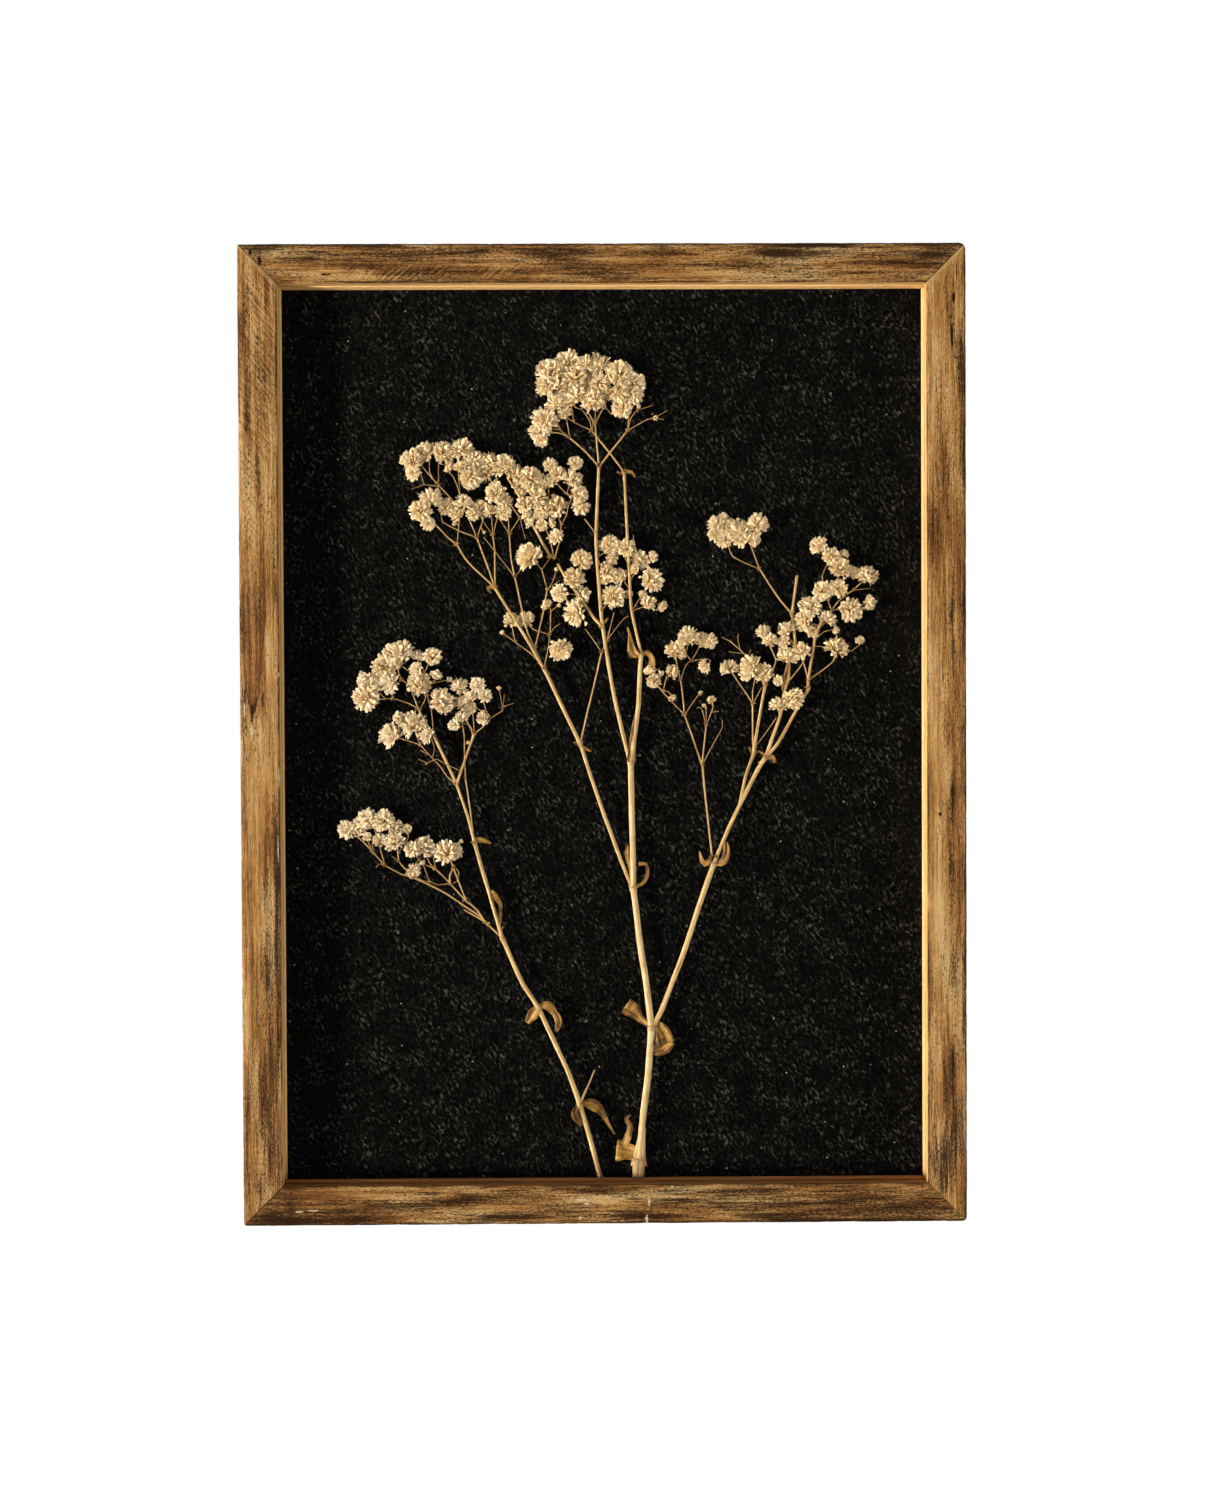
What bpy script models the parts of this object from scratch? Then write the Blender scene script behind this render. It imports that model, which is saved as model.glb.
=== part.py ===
"""Pressed flower frame: baby's breath on black paper, behind glass, in a mitred box frame.

Everything here is measured in millimetres and turned to metres where a mesh is made.
The frame stands on its foot at z = 0 and faces -Y. x is measured from its centre line.
"""
import math

import bmesh
import bpy
from mathutils import Vector

MM = 0.001

# Driving dimensions of the frame
FRAME_WIDTH = 200.0
FRAME_HEIGHT = 270.0
FRAME_DEPTH = 20.0
RAIL_FACE = 11.0        # width of a rail, seen from the front
RAIL_WALL = 6.5         # width of a rail behind its rebate
LIP_DEPTH = 3.0         # thickness of the lip in front of the glass
OUTER_ROUND = 0.5       # worn outer arris
INNER_ROUND = 0.3       # worn sight edge
CLEARANCE = 0.3         # air between neighbouring pieces
MITRE_SHIFT = 0.21      # each mitre is cut back by this much along its rail

# What lies in the rebate, front to back
GLASS_THICKNESS = 1.8
SPACER_DEPTH = 4.3
PAPER_THICKNESS = 0.5
BOARD_THICKNESS = 3.0
TAB_THICKNESS = 0.6

# Framer's points that hold the board in
TAB_WIDTH = 5.5
TAB_LENGTH = 9.0
TAB_SLOT_DEPTH = 2.3
TAB_HEIGHTS = (45.0, 135.0, 225.0)
TAB_OFFSETS = (-50.0, 50.0)

# Sawtooth hanger on the back of the top rail
HANGER_LENGTH = 30.0
HANGER_HEIGHT = 6.0
HANGER_RAISED_LENGTH = 19.0
HANGER_RAMP = 1.0
HANGER_PLATE = 0.8
HANGER_RISE = 0.7
TOOTH_PITCH = 2.0
TOOTH_COUNT = 9
TOOTH_NOTCH = 1.7
TOOTH_DEPTH = 1.3
NAIL_SPACING = 24.6
NAIL_SIDES = 8
NAIL_SHANK = 1.2
NAIL_HOLE = 1.8
NAIL_HEAD = 2.8
NAIL_HEAD_THICKNESS = 0.4
NAIL_LENGTH = 9.0
NAIL_POINT = 1.5
CUT_MARGIN = 1.0        # cutters run past the faces that they cut

# Depths of the layers, from the front of the rails
GLASS_FRONT = LIP_DEPTH + CLEARANCE
GLASS_BACK = GLASS_FRONT + GLASS_THICKNESS
SPACER_FRONT = GLASS_BACK + CLEARANCE
SPACER_BACK = SPACER_FRONT + SPACER_DEPTH
PAPER_FRONT = SPACER_BACK + CLEARANCE
PAPER_BACK = PAPER_FRONT + PAPER_THICKNESS
BOARD_FRONT = PAPER_BACK + CLEARANCE
BOARD_BACK = BOARD_FRONT + BOARD_THICKNESS
TAB_FRONT = BOARD_BACK + CLEARANCE
TAB_BACK = TAB_FRONT + TAB_THICKNESS
HANGER_FRONT = FRAME_DEPTH + CLEARANCE
OVERALL_DEPTH = HANGER_FRONT + HANGER_RISE + HANGER_PLATE
HANGER_MIDDLE = FRAME_HEIGHT - RAIL_WALL / 2.0

HALF_WIDTH = FRAME_WIDTH / 2.0
HALF_DEPTH = OVERALL_DEPTH / 2.0

# Dried stems, heads and leaves
STEM_LIFT = 2.6         # axis of a stem above the paper
SMALL_LIFT = 0.07       # keeps crossing stems from lying in the same plane
HEAD_LIFT = 2.35        # middle of a flower head above the paper
HEAD_TURN = 1.7         # radians from one head to the next, so that no two look alike
STEM_FLATNESS = 0.8     # pressed stems are a little flatter than wide
THICK_STEM = 1.5
TWIG = 0.8
STALK_WIDTH = 0.45
LEAF_THICKNESS = 0.5
LEAF_CURL = 0.5
HEAD_FLATNESS = 0.58
RIM_POINTS = 6          # three lobes with hollows between them
LOBE_REACH = 1.12       # of the head's radius
HOLLOW_REACH = 0.96


def point(across, depth, height):
    """A place in the frame: across from the centre line, back from the front, up from the foot."""
    return Vector((across * MM, (depth - HALF_DEPTH) * MM, height * MM))


def material(name, colour, roughness, metallic=0.0, transmission=0.0):
    made = bpy.data.materials.new(name)
    made.use_nodes = True
    shader = made.node_tree.nodes["Principled BSDF"]
    shader.inputs["Base Color"].default_value = (*colour, 1.0)
    shader.inputs["Roughness"].default_value = roughness
    shader.inputs["Metallic"].default_value = metallic
    shader.inputs["Transmission Weight"].default_value = transmission
    return made


def make_object(name, bm, finish):
    """Turn a bmesh into a named object with its faces pointing out."""
    bmesh.ops.recalc_face_normals(bm, faces=bm.faces)
    mesh = bpy.data.meshes.new(name)
    bm.to_mesh(mesh)
    bm.free()
    mesh.materials.append(finish)
    made = bpy.data.objects.new(name, mesh)
    bpy.context.scene.collection.objects.link(made)
    return made


def add_prism(bm, outline, low, high, place):
    """Extrude an outline from low to high; place(u, v, w) says where its points go."""
    rings = [[bm.verts.new(place(u, v, w)) for u, v in outline] for w in (low, high)]
    count = len(outline)
    for i in range(count):
        j = (i + 1) % count
        bm.faces.new((rings[0][i], rings[0][j], rings[1][j], rings[1][i]))
    bm.faces.new(rings[0][::-1])
    bm.faces.new(rings[1])


def make_box(name, across, depth, height, finish):
    """A box between three (low, high) pairs."""
    outline = [(across[0], depth[0]), (across[1], depth[0]), (across[1], depth[1]), (across[0], depth[1])]
    bm = bmesh.new()
    add_prism(bm, outline, height[0], height[1], point)
    make_object(name, bm, finish)


def add_round_bar(bm, across, radius, near, far):
    """A bar at the height of the hanger's nails, from one depth to another."""
    outline = []
    for i in range(NAIL_SIDES):
        angle = 2.0 * math.pi * i / NAIL_SIDES
        outline.append((across + radius * math.cos(angle), HANGER_MIDDLE + radius * math.sin(angle)))
    add_prism(bm, outline, near, far, lambda u, v, w: point(u, w, v))


def as_cutter(made):
    """Keep a cutter out of the picture."""
    made.hide_render = True
    made.display_type = "WIRE"
    return made


def boolean(made, operand, operation, whole=False):
    change = made.modifiers.new(operation.lower(), "BOOLEAN")
    change.operation = operation
    change.solver = "EXACT"
    change.use_self = whole
    change.object = operand


# ---------------------------------------------------------------- frame

def rail_profile():
    """Section of a rail as (width from the outer edge, depth), with the rebate behind the lip."""
    return [
        (0.0, OUTER_ROUND), (OUTER_ROUND, 0.0),
        (RAIL_FACE - INNER_ROUND, 0.0), (RAIL_FACE, INNER_ROUND),
        (RAIL_FACE, LIP_DEPTH), (RAIL_WALL, LIP_DEPTH),
        (RAIL_WALL, FRAME_DEPTH), (0.0, FRAME_DEPTH),
    ]


def rail_place(side):
    """Where a rail's (width, depth) point goes at its low (0) or high (1) end, mitred at 45 degrees."""
    def place(width, depth, end):
        reach = width + MITRE_SHIFT
        if side in ("bottom", "top"):
            across = HALF_WIDTH - reach if end else reach - HALF_WIDTH
            height = width if side == "bottom" else FRAME_HEIGHT - width
        else:
            across = width - HALF_WIDTH if side == "left" else HALF_WIDTH - width
            height = FRAME_HEIGHT - reach if end else reach
        return point(across, depth, height)
    return place


def tab_places():
    """Each framer's point: its rail, and how far along that rail it sits."""
    for side in ("left", "right"):
        for height in TAB_HEIGHTS:
            yield side, height
    for side in ("bottom", "top"):
        for offset in TAB_OFFSETS:
            yield side, offset


def tab_place(side, along):
    """Turn (inwards from the rebate wall, along the rail, depth) into a place in the frame."""
    def place(inwards, sideways, depth):
        width = RAIL_WALL + inwards
        if side == "left":
            return point(width - HALF_WIDTH, depth, along + sideways)
        if side == "right":
            return point(HALF_WIDTH - width, depth, along + sideways)
        if side == "bottom":
            return point(along + sideways, depth, width)
        return point(along + sideways, depth, FRAME_HEIGHT - width)
    return place


def make_rail(side, finish):
    bm = bmesh.new()
    add_prism(bm, rail_profile(), 0, 1, rail_place(side))
    rail = make_object("rail_" + side, bm, finish)
    cuts = bmesh.new()
    half = TAB_WIDTH / 2.0 + CLEARANCE
    slot = [(-TAB_SLOT_DEPTH, -half), (CLEARANCE, -half), (CLEARANCE, half), (-TAB_SLOT_DEPTH, half)]
    for tab_side, along in tab_places():
        if tab_side == side:
            add_prism(cuts, slot, TAB_FRONT - CLEARANCE, TAB_BACK + CLEARANCE, tab_place(side, along))
    if side == "top":
        for nail_side in (-1, 1):
            across = nail_side * NAIL_SPACING / 2.0
            add_round_bar(cuts, across, NAIL_HOLE / 2.0, FRAME_DEPTH - NAIL_LENGTH, FRAME_DEPTH + CUT_MARGIN)
    boolean(rail, as_cutter(make_object("cut_rail_" + side, cuts, finish)), "DIFFERENCE")


def make_spacers(finish):
    """Strips flush with the sight edge: top and bottom run through, the sides stand between them."""
    near = RAIL_WALL + CLEARANCE
    depth = (SPACER_FRONT, SPACER_BACK)
    through = (near - HALF_WIDTH, HALF_WIDTH - near)
    between = (RAIL_FACE + CLEARANCE, FRAME_HEIGHT - RAIL_FACE - CLEARANCE)
    make_box("spacer_bottom", through, depth, (near, RAIL_FACE), finish)
    make_box("spacer_top", through, depth, (FRAME_HEIGHT - RAIL_FACE, FRAME_HEIGHT - near), finish)
    make_box("spacer_left", (near - HALF_WIDTH, RAIL_FACE - HALF_WIDTH), depth, between, finish)
    make_box("spacer_right", (HALF_WIDTH - RAIL_FACE, HALF_WIDTH - near), depth, between, finish)


def make_sheet(name, front, back, finish):
    """A pane, sheet or board that fills the rebate."""
    near = RAIL_WALL + CLEARANCE
    make_box(name, (near - HALF_WIDTH, HALF_WIDTH - near), (front, back), (near, FRAME_HEIGHT - near), finish)


def make_tabs(finish):
    """Flat points with a round free end; the other end sits in a slot in the rail."""
    half = TAB_WIDTH / 2.0
    root = CLEARANCE - TAB_SLOT_DEPTH
    shoulder = root + TAB_LENGTH - half
    arc_steps = 4
    outline = [(root, half), (root, -half)]
    for i in range(arc_steps + 1):
        angle = math.pi * (i / arc_steps - 0.5)
        outline.append((shoulder + half * math.cos(angle), half * math.sin(angle)))
    for number, (side, along) in enumerate(tab_places(), start=1):
        bm = bmesh.new()
        add_prism(bm, outline, TAB_FRONT, TAB_BACK, tab_place(side, along))
        make_object("glazing_tab_%d" % number, bm, finish)


def make_hanger(finish):
    """A pressed steel strip whose raised middle has teeth along its lower edge."""
    end = HANGER_LENGTH / 2.0
    raised = HANGER_RAISED_LENGTH / 2.0
    foot = raised + HANGER_RAMP
    low = HANGER_FRONT
    high = HANGER_FRONT + HANGER_RISE
    under = [(-end, low), (-foot, low), (-raised, high), (raised, high), (foot, low), (end, low)]
    over = [(across, depth + HANGER_PLATE) for across, depth in reversed(under)]
    bottom = HANGER_MIDDLE - HANGER_HEIGHT / 2.0
    bm = bmesh.new()
    add_prism(bm, under + over, bottom, bottom + HANGER_HEIGHT, point)
    hanger = make_object("hanger", bm, finish)
    cuts = bmesh.new()
    for tooth in range(TOOTH_COUNT):
        middle = (tooth - (TOOTH_COUNT - 1) / 2.0) * TOOTH_PITCH
        half = TOOTH_NOTCH / 2.0
        notch = [(middle - half, bottom - CUT_MARGIN), (middle + half, bottom - CUT_MARGIN),
                 (middle + half, bottom), (middle, bottom + TOOTH_DEPTH), (middle - half, bottom)]
        add_prism(cuts, notch, low - CUT_MARGIN, OVERALL_DEPTH + CUT_MARGIN, lambda u, v, w: point(u, w, v))
    for side in (-1, 1):
        across = side * NAIL_SPACING / 2.0
        add_round_bar(cuts, across, NAIL_HOLE / 2.0, low - CUT_MARGIN, OVERALL_DEPTH + CUT_MARGIN)
    boolean(hanger, as_cutter(make_object("cut_hanger", cuts, finish)), "DIFFERENCE")


def make_nail(name, side, finish):
    """A small pin with a flat head, turned as one closed profile."""
    head_under = HANGER_FRONT + HANGER_PLATE + CLEARANCE
    head_top = head_under + NAIL_HEAD_THICKNESS
    tip = head_under + CLEARANCE - NAIL_LENGTH
    profile = [(NAIL_SHANK / 2.0, tip + NAIL_POINT), (NAIL_SHANK / 2.0, head_under),
               (NAIL_HEAD / 2.0, head_under), (NAIL_HEAD / 2.0, head_top)]
    centre = side * NAIL_SPACING / 2.0
    bm = bmesh.new()
    rings = []
    for radius, depth in profile:
        ring = []
        for i in range(NAIL_SIDES):
            angle = 2.0 * math.pi * i / NAIL_SIDES
            across = centre + radius * math.cos(angle)
            ring.append(bm.verts.new(point(across, depth, HANGER_MIDDLE + radius * math.sin(angle))))
        rings.append(ring)
    apex = bm.verts.new(point(centre, tip, HANGER_MIDDLE))
    for i in range(NAIL_SIDES):
        j = (i + 1) % NAIL_SIDES
        bm.faces.new((rings[0][j], rings[0][i], apex))
        for near, far in zip(rings, rings[1:]):
            bm.faces.new((near[i], near[j], far[j], far[i]))
    bm.faces.new(rings[-1])
    make_object(name, bm, finish)


# ---------------------------------------------------------------- plants

def on_paper(across, height, lift):
    """A place above the paper."""
    return point(across, PAPER_FRONT - lift, height)


def path_sides(path):
    """For each point of a path, the unit vector across it in the plane of the paper."""
    sides = []
    last = len(path) - 1
    for i in range(len(path)):
        before = path[max(i - 1, 0)]
        after = path[min(i + 1, last)]
        run = math.hypot(after[0] - before[0], after[1] - before[1])
        sides.append(((after[1] - before[1]) / run, (before[0] - after[0]) / run))
    return sides


def add_rings(bm, rings):
    """Skin a row of rings and close both ends."""
    count = len(rings[0])
    for near, far in zip(rings, rings[1:]):
        for i in range(count):
            j = (i + 1) % count
            bm.faces.new((near[i], near[j], far[j], far[i]))
    bm.faces.new(rings[0][::-1])
    bm.faces.new(rings[-1])


def stem_sides(width):
    """Thick stems are six-sided, twigs square and flower stalks three-sided."""
    if width >= THICK_STEM:
        return 6
    return 4 if width >= TWIG else 3


def add_stem(bm, path, start_width, end_width, lift):
    """A tapering, slightly flattened stem along a path of (across, height) points."""
    count = stem_sides(start_width)
    last = len(path) - 1
    rings = []
    for i, ((x, z), (side_x, side_z)) in enumerate(zip(path, path_sides(path))):
        radius = (start_width + (end_width - start_width) * i / last) / 2.0
        ring = []
        for k in range(count):
            angle = 2.0 * math.pi * (k + 0.5) / count
            out = radius * math.cos(angle)
            up = radius * STEM_FLATNESS * math.sin(angle)
            ring.append(bm.verts.new(on_paper(x + out * side_x, z + out * side_z, lift + up)))
        rings.append(ring)
    add_rings(bm, rings)


def add_leaf(bm, spine, lift):
    """A curled blade: a thin strip whose width follows the third value of each spine point."""
    path = [(x, z) for x, z, width in spine]
    rings = []
    for i, ((x, z, width), (side_x, side_z)) in enumerate(zip(spine, path_sides(path))):
        curl = LEAF_CURL * math.sin(math.pi * i / (len(spine) - 1))
        half = width / 2.0
        front = lift - curl + LEAF_THICKNESS / 2.0
        back = lift - curl - LEAF_THICKNESS / 2.0
        rings.append([
            bm.verts.new(on_paper(x + out * side_x, z + out * side_z, up))
            for out, up in ((-half, back), (half, back), (half, front), (-half, front))
        ])
    add_rings(bm, rings)


def add_flower_head(bm, x, z, width, lift, turn):
    """A pressed head: a rim of blunt lobes, drawn to a low point in front and behind."""
    radius = width / 2.0
    rim = []
    for i in range(RIM_POINTS):
        angle = turn + 2.0 * math.pi * i / RIM_POINTS
        reach = radius * (LOBE_REACH if i % 2 == 0 else HOLLOW_REACH)
        rim.append(bm.verts.new(on_paper(x + reach * math.cos(angle), z + reach * math.sin(angle), lift)))
    half_thick = radius * HEAD_FLATNESS
    front = bm.verts.new(on_paper(x, z, lift + half_thick))
    back = bm.verts.new(on_paper(x, z, lift - half_thick))
    for i in range(RIM_POINTS):
        j = (i + 1) % RIM_POINTS
        bm.faces.new((front, rim[i], rim[j]))
        bm.faces.new((back, rim[j], rim[i]))


def make_plant(name, plant, finish):
    """Fuse the stems, leaves and flower heads of one piece of the plant into one solid."""
    parts = bmesh.new()
    for number, (path, start_width, end_width) in enumerate(plant["shoots"]):
        if number > 0:
            add_stem(parts, path, start_width, end_width, STEM_LIFT + SMALL_LIFT * (number % 3))
    for number, spine in enumerate(plant["leaves"]):
        add_leaf(parts, spine, STEM_LIFT - SMALL_LIFT * (number % 3))
    for number, (x, z, width, *stalk_start) in enumerate(plant["heads"]):
        add_flower_head(parts, x, z, width, HEAD_LIFT, HEAD_TURN * number)
        if stalk_start:
            add_stem(parts, [stalk_start, (x, z)], STALK_WIDTH, STALK_WIDTH, STEM_LIFT)
    made = make_object(name, parts, finish)
    root = bmesh.new()
    path, start_width, end_width = plant["shoots"][0]
    add_stem(root, path, start_width, end_width, STEM_LIFT)
    boolean(made, as_cutter(make_object("root_of_" + name, root, finish)), "UNION", whole=True)


# Where each piece of the plants lies, read off the photograph.
# shoots: ([(across, height), ...], width at the start, width at the end)
# heads: (across, height, width), then the start of its stalk where it needs one of its own
# leaves: spine of (across, height, width of the blade)

MAIN_STEM = {
    "shoots": [
        ([(9.5, 11.5), (9.5, 15.5)], 3.7, 3.6),
        ([(9.5, 15.5), (13, 53.5)], 2.6, 2.6),
        ([(13, 53.5), (8, 92.5)], 2.1, 2.1),
        ([(8, 92.5), (7.5, 126)], 2.1, 2),
    ],
    "heads": [
    ],
    "leaves": [
        [(12.9, 54.2, 1.5), (5, 59, 3.5)],
        [(13, 53.5, 1), (16.5, 52.5, 2.5), (18, 49.5, 3.5), (13.5, 46, 1.5)],
        [(7.9, 96, 1), (6.7, 104.5, 0.9)],
        [(8, 92.4, 1), (12, 96.5, 1), (11.5, 99, 1), (9.5, 99, 1)],
        [(9.6, 16.3, 3.5), (3, 18.5, 5)],
        [(4.5, 18.8, 1.5), (6.5, 28.5, 0.5)],
    ],
}

LEFT_BRANCH = {
    "shoots": [
        ([(6, 96.5), (-6.5, 132.5)], 1.2, 1.2),
        ([(-6.5, 132.5), (-16.5, 153.5)], 1.3, 1.2),
        ([(-16.5, 153.5), (-30, 176)], 1, 0.9),
        ([(-16.5, 153.5), (-21, 163.5), (-24.5, 179)], 0.8, 0.7),
        ([(-6.5, 132.5), (-0.5, 158)], 0.8, 0.7),
        ([(-16.5, 153.5), (-14.5, 170)], 0.5, 0.4),
        ([(-15.5, 162), (-13, 160)], 0.3, 0.3),
        ([(-19, 159), (-15.5, 175.5)], 0.7, 0.6),
        ([(-15.5, 175.5), (-20, 184.5)], 0.5, 0.4),
        ([(-30, 176), (-40.5, 188)], 0.8, 0.7),
        ([(-30, 176), (-35, 190)], 0.8, 0.7),
        ([(-24.5, 179), (-26, 191)], 0.7, 0.6),
        ([(-40.5, 188), (-39.5, 198)], 0.5, 0.4),
        ([(-26, 191), (-28.5, 202.5)], 0.5, 0.4),
        ([(-39.5, 198), (-46, 205)], 0.6, 0.5),
        ([(-46, 205), (-51, 211)], 0.5, 0.4),
        ([(-31, 197), (-31.5, 207.5)], 0.4, 0.4),
        ([(-14.5, 184.5), (-26, 206)], 0.9, 0.7),
        ([(-13.5, 184), (-17, 198)], 0.5, 0.4),
        ([(-13.5, 184), (-11.5, 193.5)], 0.6, 0.5),
        ([(-11.5, 193.5), (-8.5, 201)], 0.4, 0.4),
        ([(-17, 198), (-15, 203.5)], 0.4, 0.4),
        ([(-8.5, 201), (-15, 207.5)], 0.4, 0.4),
    ],
    "heads": [
        (-20.5, 184.5, 7.5), (-15.5, 171, 3.5), (-25.5, 167, 4.5), (-21.5, 167, 5), (-12, 159, 6.5),
        (-53, 211.5, 6), (-52.5, 208, 4.5), (-49, 213.5, 6.5), (-44, 213.5, 6.5), (-43, 210, 3.5),
        (-39, 214.5, 6.5), (-39.5, 209.5, 4), (-35.5, 211, 7), (-36.5, 206.5, 6.5), (-32.5, 208, 5),
        (-31.5, 211, 5.5), (-27.5, 209.5, 7), (-24, 207.5, 5), (-29, 203, 6.5), (-27.5, 197, 4.5),
        (-20, 206.5, 6.5), (-22.5, 204, 5), (-16, 204.5, 6), (-18.5, 201.5, 6), (-21.5, 199, 5),
        (-13, 198.5, 6.5), (-17, 197, 4.5), (-20, 194, 3.5), (-17, 193.5, 3.5), (-13, 190, 4.5),
        (-47.5, 200.5, 6.5), (-50.5, 197.5, 6), (-43.5, 198.5, 5), (-48.5, 194, 4), (-38.5, 199.5, 5),
        (-40.5, 196.5, 4), (-34, 198, 5), (-36, 196.5, 4), (-31, 197, 4), (-14.5, 210, 4, -12.5, 205),
        (-12.5, 207.5, 4.5), (-7.5, 210.5, 4, -8.5, 206.5), (-8.5, 206, 5.5, -9.8, 202.2),
        (-6.5, 202, 5, -9.8, 202.2), (-6, 198.5, 5),
    ],
    "leaves": [
        [(-6.4, 132.2, 1.5), (-8.5, 133, 0.5)],
        [(-6.2, 131.7, 1.5), (-3.5, 130.5, 0.5)],
        [(-30.2, 176.2, 1), (-32, 176, 1), (-31, 174.5, 0.5)],
    ],
}

CENTRE_STEMS = {
    "shoots": [
        ([(7.5, 127), (3.5, 143), (-0.5, 167.5), (-2, 190.5), (-1, 209.5)], 1.4, 1),
        ([(-0.1, 165), (-10, 178), (-12.5, 182.5)], 1.1, 0.8),
        ([(-7, 174), (-11.5, 174.5)], 0.4, 0.4),
        ([(-4.4, 170.6), (-7.5, 169)], 0.5, 0.4),
        ([(-8.7, 176.3), (-6, 183)], 0.4, 0.4),
        ([(-1.5, 183.5), (1, 180)], 0.5, 0.4),
        ([(-1.6, 184.5), (3, 187)], 0.4, 0.4),
        ([(-0.6, 169.5), (3, 173.5)], 0.5, 0.4),
        ([(7.5, 127), (9.5, 142), (10.5, 157.5)], 1.7, 1.4),
        ([(10.5, 157.5), (8, 169.5), (6, 208)], 1, 0.9),
        ([(8, 169.5), (13.5, 178)], 0.4, 0.4),
        ([(7.6, 178), (11, 183.5)], 0.4, 0.4),
        ([(8, 169.5), (14, 171.5)], 0.4, 0.4),
        ([(-1, 209.5), (-9, 217.5)], 0.8, 0.7),
        ([(-1, 209.5), (-2, 221.5)], 0.8, 0.7),
        ([(-1, 209.5), (7, 219.5)], 0.8, 0.7),
        ([(6, 208), (-3, 219.5)], 0.8, 0.7),
        ([(-9, 217.5), (-12.5, 225)], 0.5, 0.4),
        ([(-9.3, 218.1), (-17, 218)], 0.5, 0.4),
    ],
    "heads": [
        (-6, 183.5, 6), (-8, 178.5, 6), (-12, 174.5, 5), (-6, 174, 5), (-7.5, 169, 7.5), (2, 188, 5.5),
        (-0.5, 187.5, 3.5), (2.5, 184.5, 4), (1, 180, 6), (3, 173.5, 6.5), (10.5, 183.5, 5.5),
        (13.5, 184.5, 3.5), (13.5, 178, 6.5), (12.5, 171.5, 4.5), (16, 171, 3.5, 14, 171.5),
        (6.5, 187, 5), (5, 179, 4.5), (-14.5, 236, 7.5), (-15.5, 232, 6), (-9.5, 238.5, 7),
        (-7.5, 234.5, 6.5), (-5, 238, 5), (-1, 237.5, 7), (2, 235.5, 5), (-3.5, 232, 6),
        (-10.5, 231, 6), (-0.5, 232.5, 5.5), (5, 235.5, 7), (4.5, 230.5, 6.5), (9, 232.5, 6),
        (9, 229, 5), (5.5, 226, 6), (-2.5, 227.5, 7), (-12.5, 227, 6.5), (-8.5, 228, 5.5),
        (-16, 222.5, 7), (-17.5, 219.5, 6), (-17, 217, 4), (-10.5, 224.5, 4), (1.5, 230, 4),
    ],
    "leaves": [
        [(7.6, 127.6, 2.5), (9, 141, 0.5)],
        [(10.4, 158.1, 1.5), (8, 158.5, 2), (7, 166, 1)],
        [(10.4, 157.8, 1.5), (14, 158, 1), (14.5, 154.5, 1), (16, 155, 0.5)],
        [(6, 207.5, 1), (4, 208, 0.5)],
        [(6, 208, 1), (9, 206.5, 0.5)],
        [(-0.3, 166, 1), (1.5, 167.5, 0.5)],
    ],
}

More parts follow.
